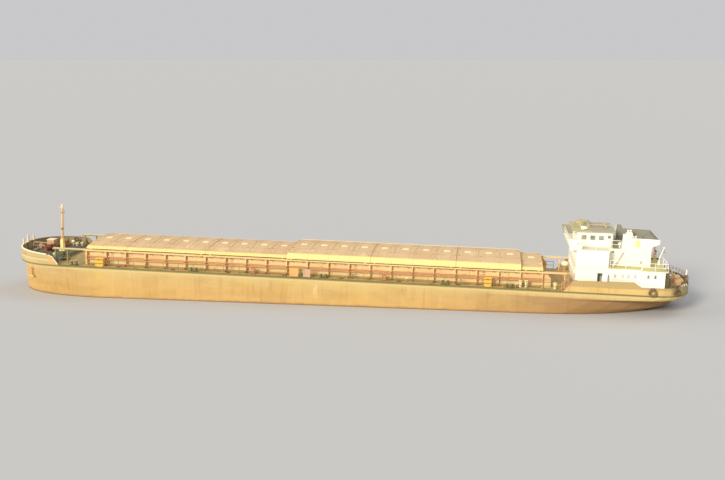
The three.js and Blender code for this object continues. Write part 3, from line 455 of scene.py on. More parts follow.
def bow_bulwark_finish():
    """Two strakes, an orange-tan end plate, a dull inner side, and white posts at the stem."""
    finish = Finish("bow_bulwark_paint", (192, 172, 122), 0.7)
    finish.weather((182, 156, 96), 0.4, 0.5)
    finish.lay((168, 138, 80), 0.7, ("z", 6.32, 6.42, 0.02))
    finish.lay((214, 192, 136), 0.6, ("z", 5.98, 6.3, 0.03))
    finish.lay((214, 170, 96), 0.7, ("x", -40.35, -40.2))
    finish.lay((166, 144, 104), 0.92, inside_of(finish, BOW_PLAN))
    finish.lay((236, 214, 176), 0.95, ("z", 7.13, 7.16), ("x", -45.9, -46.0))
    return finish.done()


def stern_bulwark_finish():
    """Golden tan, darker towards the top, dirty and in painted shade towards the stern, with orange-tan edges
    at its sloping fore ends.
    """
    finish = Finish("stern_bulwark_paint", (218, 184, 116), 0.7)
    finish.weather((206, 166, 94), 0.4, 0.5)
    finish.lay((180, 156, 102), 0.85, (finish.wavy(finish.z, finish.noise(5.0), 0.2), 6.28, 6.36))
    # the stern end darker brown-grey: dirt and painted shade
    finish.lay((152, 138, 104), 0.8, ("x", 43.0, 47.0))
    finish.lay((190, 118, 62), 0.9, ("x", 32.3, 32.2), ("out", 6.4, 6.37))
    inside = inside_of(finish, STERN_PLAN)
    finish.lay((112, 100, 68), 0.92, inside)
    finish.lay((206, 152, 92), 0.85, inside, ("x", 34.0, 33.0))
    return finish.done()


def coaming_finish():
    """Tan with rust along the stiffener, pale washed-out paint near the deck and a pale top of the rail."""
    finish = Finish("coaming_paint", (232, 204, 146), 0.7)
    finish.weather((222, 176, 122), 0.5, 0.6)
    wavy = finish.wavy(finish.z, finish.noise(7.0, (1, 1, 1), 5, 0.6, 2.0), 0.5)
    finish.lay((232, 212, 150), 0.8, (wavy, 6.5, 6.1))
    finish.lay((214, 140, 94), 0.5, (wavy, 6.6, 6.95, 0.1))
    finish.lay((238, 212, 160), 0.85, ("z", 7.62, 7.64), ("out", 4.9, 4.95))
    # the rail's fore end is olive below its top
    finish.lay((124, 120, 80), 0.8, ("x", -35.3, -35.6), ("z", 7.625, 7.6))
    return finish.done()


def cover_finish():
    """Pinkish tan tops with sides painted brighter cream as painted sunlight; rust along the joints, pale
    scuffs at the middle and a dark red aft end as painted shade.
    """
    finish = Finish("cover_paint", (219, 186, 138), 0.6)
    finish.weather((206, 168, 122), 0.35, 0.5)
    finish.lay((242, 208, 160), 0.6, (finish.noise(5.0, (1, 0.4, 1), 5, 0.6, 5.0), 0.54, 0.72))
    # painted sunlight: the sides and skirt are painted brighter cream than the tops
    side = finish.maths("MAXIMUM", finish.step(finish.z, 7.98, 7.92), finish.step(finish.out, 4.54, 4.64))
    finish.lay((250, 222, 142), 0.9, side)
    # how far from the middle of its panel, as a share of the panel's length
    share = finish.maths("DIVIDE", finish.maths("SUBTRACT", finish.x, HATCH_FORE), PANEL)
    joint = finish.maths("ABSOLUTE", finish.maths("SUBTRACT", finish.maths("FRACT", share), 0.5))
    finish.lay((184, 142, 106), 0.4, (finish.wavy(joint, finish.noise(14.0), 0.05), 0.5, 0.525))
    # painted shade: the covers' aft end, which faces away from the sun, is dark red-brown
    finish.lay((122, 62, 44), 0.9, ("x", HATCH_AFT - 0.05, HATCH_AFT - 0.04))
    return finish.done()


def deck_finish(name, base, worn, face, *sandy):
    """Non-slip deck paint, worn through on the walkways; face colours its upright edges."""
    finish = Finish(name, base, 0.8)
    finish.weather(worn, 0.4, 0.6)
    finish.lay(GRIME, 0.6, (finish.noise(9.0, (1, 1, 1), 6), 0.5, 0.72))
    for layer in sandy:
        finish.lay(*layer)
    finish.lay(face, 0.9, ("z", RAISED_DECK - 0.01, RAISED_DECK - 0.02))
    finish.emboss(finish.noise(320.0, (1, 1, 1), 1), 0.4)
    return finish.done(0.4)


def white_finish(name):
    """Cream white with grime and thin rust runs."""
    finish = Finish(name, (250, 247, 232), 0.5)
    finish.weather((244, 238, 216), 0.1, 0.45)
    finish.lay((220, 200, 150), 0.3, (finish.noise(9.0, (6.0, 6.0, 0.5), 4, 0.6, 2.0), 0.58, 0.78))
    finish.lay((236, 222, 176), 0.4, (finish.noise(2.0, (1, 1, 2), 3, 0.5, 8.0), 0.6, 0.8))
    finish.plating(1.7, 1.15, (255, 252, 240), (214, 204, 176), 0.25)
    return finish


def deck_and_walls(name, level, floor, layers):
    """White paint with a worn deck at a height, and other colours laid on."""
    finish = white_finish(name)
    deck = ("z", level - 0.012, level + 0.012, 0.004)
    finish.lay(floor, 0.95, deck)
    finish.lay(GRIME, 0.3, deck, (finish.noise(7.0, (1, 1, 1), 6, 0.6, 6.0), 0.48, 0.72))
    for layer in layers:
        finish.lay(*layer)
    return finish.done(0.2)


def rubber_finish():
    """Worn black rubber, grey with dust."""
    finish = Finish("tyre_rubber", (94, 80, 60), 0.9)
    finish.lay((144, 122, 86), 0.75, (finish.noise(30.0), 0.4, 0.64))
    finish.emboss(finish.noise(200.0), 0.4)
    return finish.done()


def glass_finish(name, deep, light):
    """Window glass over a dim room, with paler patches as painted reflections."""
    finish = Finish(name, deep, 0.12)
    # painted reflections: paler patches on the glass
    finish.lay(light, 0.7, (finish.noise(5.0, (1, 1, 1), 2), 0.35, 0.65))
    finish.shader.inputs["Specular IOR Level"].default_value = 0.6
    return finish.done()


HULL = hull_finish()
BOW_BULWARK = bow_bulwark_finish()
STERN_BULWARK = stern_bulwark_finish()
COAMING = coaming_finish()
COVER = cover_finish()
# its upright faces are bluish grey as painted shade
FORE_DECK = deck_finish("fore_deck_paint", (88, 104, 82), (112, 110, 82), (122, 122, 110))
# sandy in front of the house
POOP_DECK = deck_finish("poop_deck_paint", (112, 106, 72), (142, 122, 84), (220, 176, 114),
                        ((196, 162, 112), 0.8, ("x", 32.6, 32.3)))
WHITE = white_finish("white_paint").done(0.2)
# the two posts under the casing's overhang are brown as painted shade under the overhang
BOAT_DECK_PAINT = deck_and_walls("boat_deck_paint", BOAT_DECK, (206, 198, 132), (
    ((150, 104, 66), 0.95, ("z", 8.67, 8.7), ("out", 3.2, 3.5, 0.01)),))
# a paler deck round the wheelhouse, a casing well painted grey as painted shade, and wing screens with grey
# insides and tan tops
BRIDGE_DECK_PAINT = deck_and_walls("bridge_deck_paint", BRIDGE_DECK, (146, 138, 92), (
    ((232, 226, 200), 0.9, ("z", BRIDGE_DECK - 0.013, BRIDGE_DECK + 0.013, 0.004), ("x", 37.4, 37.2)),
    ((124, 122, 108), 0.9, ("x", 38.5, 43.15, 0.01), ("out", 3.545, 3.535), ("z", 10.9, 11.0)),
    ((140, 136, 118), 0.92, ("x", 33.15, 33.05), ("z", 10.96, 11.0), ("out", 5.38, 5.47, 0.01)),
    ((232, 206, 128), 0.9, ("x", 33.15, 33.05), ("z", 10.96, 11.0), ("z", 12.28, 12.295))))
ROOF_PAINT = painted("roof_paint", (170, 164, 136), (176, 162, 128), 0.25, 0.6, 0.35, rough=0.75,
                     layers=[((206, 194, 130), 0.5, ("x", 34.6, 34.0))])
RADAR_PAINT = painted("radar_paint", (196, 178, 140), (174, 152, 112), 0.3)
# a dark band below the middle, a pale foot and a pale head
MAST_PAINT = painted("mast_paint", (226, 194, 150), (206, 170, 126), 0.3, bump=0.2, layers=[
    ((110, 96, 80), 0.8, ("z", 9.25, 9.55, 0.03)), ((255, 236, 150), 0.85, ("z", 8.05, 7.75)),
    ((250, 232, 206), 0.8, ("z", 12.3, 12.6))])
# brown sides under a pale lid
LOCKER_PAINT = painted("bow_locker_paint", (206, 172, 126), (186, 146, 100), 0.4, bump=0.35,
                       layers=[((250, 228, 200), 0.9, ("z", 7.1, 7.13))])
# pale cowls on brown feet
VENT_PAINT = painted("vent_paint", (250, 238, 176), (232, 214, 150), 0.3, bump=0.2,
                     layers=[((160, 138, 88), 0.95, ("z", 5.66, 5.62))])
YELLOW = painted("yellow_paint", (246, 194, 78), (232, 178, 84), 0.25)
BOARD_YELLOW = painted("board_yellow", (222, 172, 96), (204, 148, 88), 0.4)
RUSTY = painted("rust_paint", (138, 84, 58), (112, 68, 48), 0.6, 0.7)
TAN_GEAR = painted("winch_paint", (224, 188, 146), (202, 148, 106), 0.45, 0.55)
RAIL_PAINT = painted("rail_paint", (132, 118, 70), (176, 116, 74), 0.4, 0.6)
PIPE_RED = painted("pipe_red", (206, 136, 92), (222, 172, 124), 0.3, 0.6)
# cream on the side that is kept painted, worn to olive on the other
CAP_CREAM = painted("cap_cream", (255, 246, 216), (240, 220, 172), 0.25, 0.4, 0.35,
                    layers=[((132, 120, 84), 0.9, ("y", -0.6, 0.6))])
PLATE_CREAM = painted("plate_cream", (250, 232, 190), (236, 206, 156), 0.25, 0.4)
ORANGE_TAN = painted("rim_paint", (204, 138, 88), (188, 116, 74), 0.3, 0.5)
ORANGE = painted("buoy_orange", (230, 104, 44), (238, 150, 96), 0.05, 0.5)
GREEN = painted("gear_green", (96, 104, 62), (128, 116, 70), 0.4, 0.6)
PINK_RED = painted("faded_red", (204, 164, 130), (218, 186, 150), 0.3, 0.6)
ANCHOR_TAN = painted("anchor_paint", (224, 188, 122), (200, 156, 98), 0.3, 0.5)
PALE_YELLOW = painted("pale_yellow", (246, 236, 150), (236, 214, 130), 0.15)
STEEL = painted("bare_steel", (92, 88, 80), (120, 94, 70), 0.55, 0.6, 0.3, 0.6)
BRONZE = painted("bronze", (176, 130, 66), (120, 112, 70), 0.3, 0.6, 0.3, 0.9, (92, 110, 78))
RUBBER = rubber_finish()
DARK_GLASS = glass_finish("wheelhouse_glass", (122, 128, 110), (176, 178, 156))
PALE_GLASS = glass_finish("curtained_glass", (186, 192, 180), (224, 222, 204))
# soot and painted shade, for the dark insides of the exhausts
SHADE = painted("soot_and_shade", (44, 42, 38), (66, 60, 50), 0.1)
ROPE = painted("rope", (196, 176, 132), (160, 140, 100), 0.1)

NODE_FINISH = {
    "hull": HULL, "bow_bulwark": BOW_BULWARK, "stern_bulwark": STERN_BULWARK, "forecastle_deck": FORE_DECK,
    "poop_deck": POOP_DECK, "wheelhouse_roof": ROOF_PAINT, "boat_deck": BOAT_DECK_PAINT,
    "bridge_deck": BRIDGE_DECK_PAINT, "radar_mast": RADAR_PAINT, "radar_scanner": RADAR_PAINT,
    "foremast": MAST_PAINT, "mast_foot": MAST_PAINT, "bow_locker": LOCKER_PAINT, "deck_vents": VENT_PAINT,
    "stern_windlass": TAN_GEAR, "bow_winch": RUSTY, "bridge_ladder": WHITE, "anchor_port": ANCHOR_TAN,
    "anchor_starboard": ANCHOR_TAN, "house_door_port": WHITE, "house_door_starboard": WHITE,
}
SLOT_FINISH = {
    "hull_paint": HULL, "bulwark_paint": BOW_BULWARK, "deck_paint": POOP_DECK, "coaming_paint": COAMING,
    "cover_paint": COVER, "white_paint": WHITE, "yellow_paint": YELLOW, "rust_paint": RUSTY,
    "rail_paint": RAIL_PAINT, "steel": STEEL, "bronze": BRONZE, "rubber": RUBBER,
}
for row in frame["record"]["subparts"]:
    solid = frame["nodes"][row["node"]]
    solid.data.materials.clear()
    solid.data.materials.append(NODE_FINISH.get(row["node"], SLOT_FINISH[row["material_slot"]]))


# Camera, floor and lights

FRAME_WIDTH, FOCAL = 725, 925  # in the photograph's own points


def look_from_shore():
    """The photograph's view: from port and well above, a little aft of amidships."""
    pan, dip, roll = math.radians(7.693), math.atan(188 / FOCAL), 0.01957
    place = (2.0, -12.633, 3.601)  # model metres
    right = Vector((math.cos(pan), math.sin(pan), 0))
    ahead = Vector((-math.sin(pan) * math.cos(dip), math.cos(pan) * math.cos(dip), -math.sin(dip)))
    lean = Matrix.Rotation(-roll, 3, "Y")
    right, ahead = lean @ right, lean @ ahead
    camera = bpy.data.objects.new("camera", bpy.data.cameras.new("camera"))
    camera.data.sensor_width = 36
    camera.data.lens = FOCAL / FRAME_WIDTH * 36
    camera.data.clip_end = 1500
    turn = Matrix((right, right.cross(ahead), -ahead)).transposed().to_4x4()
    camera.matrix_world = Matrix.Translation(place) @ turn
    bpy.context.scene.collection.objects.link(camera)
    bpy.context.scene.camera = camera


def water_level_floor():
    """A plain pale floor at the waterline, which rises towards the stern by the ship's trim."""
    bm = bmesh.new()
    bmesh.ops.create_grid(bm, x_segments=3, y_segments=3, size=400)
    # the holds reach below the waterline, so the middle field of the floor is cut out inside the hull's walls
    middle = [face for face in bm.faces if face.calc_center_median().length < 1]
    fore, aft, half = -35.5 * SCALE, 28.7 * SCALE, 5.2 * SCALE
    for corner in {vertex for face in middle for vertex in face.verts}:
        corner.co = (fore if corner.co.x < 0 else aft, math.copysign(half, corner.co.y), 0)
    bmesh.ops.delete(bm, geom=middle, context="FACES")
    mesh = bpy.data.meshes.new("floor")
    bm.to_mesh(mesh)
    bm.free()
    mesh.transform(Matrix.Translation(at(0, 0, WATERLINE)) @ Matrix.Rotation(-TRIM, 4, "Y"))
    floor = bpy.data.objects.new("floor", mesh)
    bpy.context.scene.collection.objects.link(floor)
    pale = bpy.data.materials.new("floor")
    pale.use_nodes = True
    pale.node_tree.nodes["Principled BSDF"].inputs["Base Color"].default_value = (0.5, 0.5, 0.5, 1)
    pale.node_tree.nodes["Principled BSDF"].inputs["Roughness"].default_value = 0.9
    mesh.materials.append(pale)


def sun(name, strength, towards, spread, tint):
    """A far lamp that shines in a direction, its shadows softened by a spread in degrees."""
    lamp = bpy.data.objects.new(name, bpy.data.lights.new(name, "SUN"))
    lamp.data.energy = strength
    lamp.data.angle = math.radians(spread)
    lamp.data.color = tint
    lamp.rotation_euler = Vector(towards).to_track_quat("-Z", "Y").to_euler()
    bpy.context.scene.collection.objects.link(lamp)


look_from_shore()
water_level_floor()
sun("key", 3.05, (0.42, 0.82, -0.42), 16, (1.0, 0.93, 0.79))
sun("fill", 0.5, (-0.5, -0.4, -0.8), 40, (0.9, 0.95, 1.0))
sun("bow fill", 0.62, (0.95, 0.2, -0.3), 30, (0.97, 0.98, 1.0))
world = bpy.data.worlds.new("studio")
world.use_nodes = True
world.node_tree.nodes["Background"].inputs["Color"].default_value = (0.88, 0.88, 0.9, 1)
world.node_tree.nodes["Background"].inputs["Strength"].default_value = 0.66
bpy.context.scene.world = world
bpy.context.scene.view_settings.view_transform = "Standard"


# Hatch covers

LOW_HALF, LOW_EDGE = 4.98, 8.1  # half breadth and edge height of the low covers
HIGH_HALF, HIGH_EDGE = 5.36, 8.42  # the same of the high ones
SLOPE, KNUCKLE = 0.4, 0.6  # breadth of the sloping edge, and where two facets meet as a share of the rest
SKIRT_BEAD = 7.95
# node, body, first panel, panels, half breadth, edge height
COVERS = (
    ("low_cover_1", "front_low_cover", 0, 2, LOW_HALF, LOW_EDGE),
    ("low_cover_2", "low_covers", 2, 4, LOW_HALF, LOW_EDGE),
    ("low_cover_3", "low_covers", 6, 4, LOW_HALF, LOW_EDGE),
    ("high_cover_1", "high_covers", 10, 4, HIGH_HALF, HIGH_EDGE),
    ("high_cover_2", "high_covers", 14, 4, HIGH_HALF, HIGH_EDGE),
    ("high_cover_3", "high_covers", 18, 3, HIGH_HALF, HIGH_EDGE),
    ("low_cover_4", "aft_low_cover", 21, 1, LOW_HALF, LOW_EDGE),
)


def crown_at(half, edge, y):
    """Height of a cover's top at a distance from the middle: two flat facets to a side under a low crown."""
    share = min(abs(y) / (half - SLOPE), 1)
    inner, outer = (0, KNUCKLE) if share <= KNUCKLE else (KNUCKLE, 1)
    blend = (share - inner) / (outer - inner)
    fall = inner ** 2 + (outer ** 2 - inner ** 2) * blend
    return edge + COVER_CROWN * (1 - fall)


def dress_cover(node, body, first, panels, half, edge):
    """Battens, a middle plate, skirt brackets and grips on each panel, beads along the edges, and buffers."""
    battens, trim, grips, plates = shapes(4)
    flat = half - SLOPE
    ys = [share * flat for share in (-0.97, -KNUCKLE, 0, KNUCKLE, 0.97)]
    facets = [(y, crown_at(half, edge, y)) for y in ys]
    fore = HATCH_FORE + first * PANEL
    aft = fore + panels * PANEL - 0.04
    for panel in range(panels):
        start = fore + panel * PANEL
        for share in (0.26, 0.74):
            x = start + share * PANEL
            for (y0, z0), (y1, z1) in zip(facets, facets[1:]):
                slat(battens, (x, y0, z0), (x, y1, z1), 0.09, 0.04)
        middle = start + PANEL / 2
        for side in (-1, 1):
            slat(plates, (middle, 0, edge + COVER_CROWN + 0.02),
                 (middle, side * 0.4, crown_at(half, edge, 0.4) + 0.02), 0.85, 0.04)
            for share in (0.2, 0.5, 0.8):
                x, y = start + share * PANEL, side * (half - 0.02)
                pad(trim, x, y, 0.03, 0.03, 7.8, SKIRT_BEAD)
                rod(trim, (x, y, SKIRT_BEAD - 0.01), (x, side * flat, edge - 0.01), 0.022, 6)
            for share in (0.12, 0.88):
                x, y = start + share * PANEL, side * (half - 1.1)
                ring(grips, (x, y, crown_at(half, edge, y) + 0.02), AFT, 0.06, 0.016, 10, 5)
                y = side * 2.2
                z = crown_at(half, edge, y) + 0.04
                rod(grips, (x - 0.12, y, z), (x + 0.12, y, z), 0.016, 6)
    for side in (-1, 1):
        for y, z, radius in ((flat, edge, 0.03), (half * 0.998, SKIRT_BEAD, 0.022)):
            rod(trim, (fore + 0.01, side * y, z), (aft - 0.01, side * y, z), radius)
        for x in (fore + 0.06, aft - 0.06):
            pad(grips, x, side * (half - 0.5), 0.05, 0.1, edge - 0.3, edge - 0.14, 0.01)
    finished(battens, f"{node}_battens", COVER, body=body)
    finished(trim, f"{node}_trim", COVER, body=body)
    finished(grips, f"{node}_grips", STEEL, 40, body)
    finished(plates, f"{node}_plates", PLATE_CREAM, body=body)


def close_cover_end(body, name, x, material):
    """A plate that closes the end of a low cover, with upright stiffeners."""
    bm = bmesh.new()
    flat, thick = LOW_HALF - 0.45, 0.04
    ys = [share * flat for share in (-1, -0.6, -0.3, 0, 0.3, 0.6, 1)]
    tops = [(y, crown_at(LOW_HALF, LOW_EDGE, y)) for y in ys]
    crown = [(x, y, z - 0.06) for y, z in tops]
    plate(bm, [(x, -flat, COVER_BOTTOM), *crown, (x, flat, COVER_BOTTOM)], (thick, 0, 0))
    near, far = (0, 0.06) if x > 0 else (-0.04, thick)
    for y, z in tops[1:-1]:
        block(bm, (x + near, y - 0.03, COVER_BOTTOM), (x + far, y + 0.03, z - 0.1))
    finished(bm, name, material, body=body)


for cover in COVERS:
    dress_cover(*cover)
close_cover_end("front_low_cover", "fore_end_plate", HATCH_FORE + 0.06, COVER)
# the aft end plate takes the dark rust paint as painted shade, the fore one the covers' own paint
close_cover_end("aft_low_cover", "aft_end_plate", HATCH_AFT - 0.14, RUSTY)


# Deck between bow and house

# distance from the middle, height and radius of the pipes along each coaming
PIPE_RUNS = ((5.36, 6.66, 0.04), (5.36, 6.4, 0.04), (5.4, 5.78, 0.06))
# distance from the middle, half length, half width, bottom and top of their clips
PIPE_CLIPS = ((5.34, 0.05, 0.09, 6.3, 6.34), (5.34, 0.05, 0.09, 6.52, 6.56), (5.38, 0.04, 0.1, DECK, 5.72))


def coaming_gear():
    """Red pipes along each coaming, their clips and valves, cleats under the rail and climbing rungs."""
    red, clips, cleats, rungs = shapes(4)
    clip_step = (HATCH_AFT - HATCH_FORE - 0.16) / PANELS
    for _, side in SIDES:
        for y, z, radius in PIPE_RUNS:
            # each pipe turns in to the coaming at both ends
            bend = [(0.2, 5.0), (0.3, y - 0.06), (0.5, y)]
            pipe(red, [(HATCH_FORE + run, side * out, z) for run, out in bend]
                 + [(HATCH_AFT - run, side * out, z) for run, out in reversed(bend)], radius)
        for i in range(1, PANELS):
            for y, half_x, half_y, low, high in PIPE_CLIPS:
                pad(clips, HATCH_FORE + 0.08 + i * clip_step, side * y, half_x, half_y, low, high)
        for i in range(5):
            x, y = -29 + i * 12.6, side * 5.4
            turned(red, [(0, 0), (0.14, 0), (0.14, 0.03), (0.03, 0.05), (0.03, 0.22), (0, 0.22)],
                   (x, y, 5.84), steps=12)
            pad(red, x, y, 0.12, 0.1, 5.68, 5.88, 0.02)
        for i in range(44):
            pad(cleats, HATCH_FORE + 0.8 + i * 1.44, side * 5.06, 0.05, 0.2, 7.34, 7.47, 0.01)
        for x in (-31.4, -14.1, 3.2, 20.5):
            for i in range(7):
                handrail(rungs, x - 0.2, x + 0.2, side * 4.86, side * 0.12, 5.75 + i * 0.28, 0.018)
    finished(red, "coaming_pipes", PIPE_RED, 40)
    finished(clips, "pipe_clips", RUSTY)
    finished(cleats, "coaming_cleats", RUSTY)
    finished(rungs, "coaming_rungs", STEEL, 50)


def bollard(bm, x, y, z, spacing=0.35, radius=0.14, height=0.45):
    """A pair of bollards on a bed, each with a lip."""
    pad(bm, x, y, spacing + 0.28, 0.2, z, z + 0.06, 0.01)
    lip = radius * 1.3
    for shift in (-spacing, spacing):
        turned(bm, [(0, 0.03), (radius, 0.03), (radius, height), (lip, height + 0.03), (lip, height + 0.08),
                    (radius * 0.9, height + 0.1), (0, height + 0.1)], (x + shift, y, z), steps=14)


def goose_neck(bm, x, y, z):
    """A tank's air pipe, bent over at the top."""
    top, bend = z + 0.55, 0.1
    angles = [i / 6 * math.pi for i in range(7)]
    arc = [(x + bend * (1 - math.cos(a)), y, top + bend * math.sin(a)) for a in angles]
    pipe(bm, [(x, y, z), *arc, (x + 2 * bend, y, top - 0.08)], 0.045)
    drum(bm, (x, y, z), UP, 0.09, 0, 0.03, 12)


def manhole(bm, x, y, z):
    """A round cover with eight bolts."""
    turned(bm, [(0, 0.05), (0.24, 0.05), (0.26, 0.03), (0.32, 0.03), (0.32, 0), (0, 0)], (x, y, z))
    for i in range(8):
        angle = i / 8 * math.tau
        bolt_x, bolt_y = x + 0.29 * math.cos(angle), y + 0.29 * math.sin(angle)
        rod(bm, (bolt_x, bolt_y, z), (bolt_x, bolt_y, z + 0.06), 0.02, 6)


def side_deck_gear():
    """Bollards, air pipes, manholes, hose boxes and the two blank boards along the side decks."""
    green, pale, dark, red, yellow, pink = shapes(6)
    for _, side in SIDES:
        for x in (-36.6, -19.2, -1.0, 15.5, 24.0):
            bollard(green, x, side * 6.0, DECK)
        for i in range(9):
            goose_neck(green if i % 2 else pale, -33.6 + i * 7.3, side * 5.68, DECK)
        for i in range(8):
            manhole(dark, -30.2 + i * 7.9, side * 5.75, DECK)
        for x in (-10.9, 7.2):
            pad(red, x, side * 5.75, 0.3, 0.15, DECK + 0.12, DECK + 0.85, 0.03)
            for shift in (-0.22, 0.22):
                pad(dark, x + shift, side * 5.75, 0.03, 0.1, DECK, DECK + 0.14)
        for i in range(14):
            pad(dark, -36.0 + i * 5.0, side * 6.5, 0.35, 0.03, DECK - 0.02, DECK + 0.05, 0.01)
    # the boards stand at the port edge of the deck, on green posts
    block(yellow, (-5.65, -6.47, 5.6), (-4.4, -6.43, 6.78), 0.01)
    block(pink, (-3.75, -6.47, 5.6), (-2.75, -6.43, 6.74), 0.01)
    for x in (-5.5, -4.55, -3.65, -2.85):
        pad(green, x, -6.41, 0.03, 0.03, DECK, 6.8)
    block(green, (-4.2, -6.46, DECK), (-3.98, -6.4, 6.75), 0.01)
    finished(green, "side_deck_bollards", GREEN, 40)
    finished(pale, "air_pipes", VENT_PAINT, 50)
    finished(dark, "deck_plates", RUSTY, 40)
    finished(red, "hose_boxes", PIPE_RED)
    finished(yellow, "yellow_board", BOARD_YELLOW)
    finished(pink, "pink_board", PINK_RED)


def locker_fittings():
    """Hinges, hasps and feet of the yellow deck lockers, and strips on the bow locker."""
    bm = bmesh.new()
    for x, width in ((-32.9, 1.15), (21.1, 1.0)):
        for hinge in (x - 0.32 * width, x + 0.32 * width):
            block(bm, (hinge - 0.04, -5.45, 6.5), (hinge + 0.04, -5.36, 6.62))
        block(bm, (x - 0.05, -6.16, 6.4), (x + 0.05, -6.12, 6.62), 0.01)
        for foot in (x - 0.42 * width, x + 0.42 * width):
            block(bm, (foot - 0.05, -6.12, DECK), (foot + 0.05, -5.38, DECK + 0.08))
    for y in (2.15, 2.65, 3.15):
        block(bm, (-44.56, y - 0.03, 6.14), (-44.52, y + 0.03, 7.08))
    finished(bm, "locker_fittings", STEEL)


coaming_gear()
side_deck_gear()
locker_fittings()


# Bow

BULWARK_END = -40.25
# plan of the hull's side at the height of the anchors
ANCHOR_PLAN = (-46.02, -38.0, 2.3, 6.5)


def bow_top(x):
    """Height of the bow bulwark's top at a station."""
    line = ((-46.75, 7.12), (-44.5, 7.07), (-42.6, 6.98), (BULWARK_END, 6.86))
    for (x0, z0), (x1, z1) in zip(line, line[1:]):
        if x <= x1:
            return z0 + (z1 - z0) * (x - x0) / (x1 - x0)
    return line[-1][1]


def bow_rim():
    """Cap rail on the bulwark, stays inside it and chocks in it."""
    cap, stays, chocks = shapes(3)
    flat_bar(cap, end_line(BOW_PLAN, BULWARK_END, 0.11, lambda x: bow_top(x) + 0.05, 26), 0.21, 0.1)
    for _, side in SIDES:
        flat_bar(cap, [(BULWARK_END, side * 6.38, 6.88), (-39.66, side * 6.41, 6.64),
                       (-38.9, side * 6.42, 5.64)], 0.16, 0.06)
        for i in range(7):
            x = -45.6 + i * 0.9
            y, top = side * edge_at(BOW_PLAN, x, 0.13), bow_top(x) - 0.05
            plate(stays, [(x, y, RAISED_DECK), (x, y - side * 0.42, RAISED_DECK), (x, y - side * 0.05, top),
                          (x, y, top)], (0.04, 0, 0))
        for x in (-44.2, -41.6):
            ring(chocks, (x, side * edge_at(BOW_PLAN, x, 0.2), 6.6), ACROSS, 0.22, 0.06, sides=8)
    finished(cap, "bow_cap_rail", CAP_CREAM, 40)
    finished(stays, "bow_stays", BOW_BULWARK)
    finished(chocks, "bow_chocks", STEEL, 60)


def chain(bm, start, end, sag, links):
    """Links, every second one upright, on a slightly sagging line."""
    for i in range(links):
        share = (i + 0.5) / links
        x, y, z = (a + (b - a) * share for a, b in zip(start, end))
        z -= sag * 4 * share * (1 - share)
        ring(bm, (x, y, z), UP if i % 2 else ACROSS, 0.075, 0.022, 10, 5)


def ground_tackle():
    """Chain from the windlass to the hawse pipes, brake wheels, gearbox cowl and bolsters at the anchors."""
    steel, rust, bolsters = shapes(3)
    for y in (-1.35, 0.75):
        chain(steel, (-43.1, y, 6.92), (-44.5, y * 1.7, 6.2), 0.04, 13)
        turned(steel, [(0.13, 0), (0.26, 0), (0.3, 0.05), (0.26, 0.12), (0.13, 0.08), (0.13, 0)],
               (-44.6, y * 1.75, RAISED_DECK), steps=18)
    wheel_x, wheel_z, wheel_radius = -42.55, 7.05, 0.22
    for y in (-1.62, 1.02):
        hub = (wheel_x, y, wheel_z)
        ring(rust, hub, ACROSS, wheel_radius, 0.025, 18)
        for angle in (i / 4 * math.tau + 0.4 for i in range(4)):
            rim = (wheel_x + wheel_radius * math.cos(angle), y, wheel_z + wheel_radius * math.sin(angle))
            rod(rust, hub, rim, 0.015, 6)
        rod(rust, hub, (-42.75, y * 0.9, 6.75), 0.03, 6)
    block(rust, (-43.62, -0.62, 6.25), (-43.3, 0.02, 6.9), 0.05)
    turned(rust, [(0, -0.35), (0.22, -0.33), (0.25, -0.3), (0.25, 0.3), (0.22, 0.33), (0, 0.35)],
           (-42.35, -0.3, 6.5), ACROSS)
    hawse_x, run = -43.3, 0.01
    y = edge_at(ANCHOR_PLAN, hawse_x, 0)
    slope = (y - edge_at(ANCHOR_PLAN, hawse_x - run, 0)) / run
    for _, side in SIDES:
        ring(bolsters, (-43.32, side * (y + 0.01), 4.62), (-slope, side, 0), 0.2, 0.07, sides=8)
    finished(steel, "anchor_chain", STEEL, 60)
    finished(rust, "windlass_gear", RUSTY, 40)
    finished(bolsters, "hawse_bolsters", ANCHOR_TAN, 60)


def rope_coil(bm, x, y, radius):
    """Rope coiled down on a raised deck in four turns, each a little narrower than the one below."""
    for i in range(4):
        ring(bm, (x, y, RAISED_DECK + 0.04 + i * 0.06), UP, radius - i * 0.03, 0.035, 22)


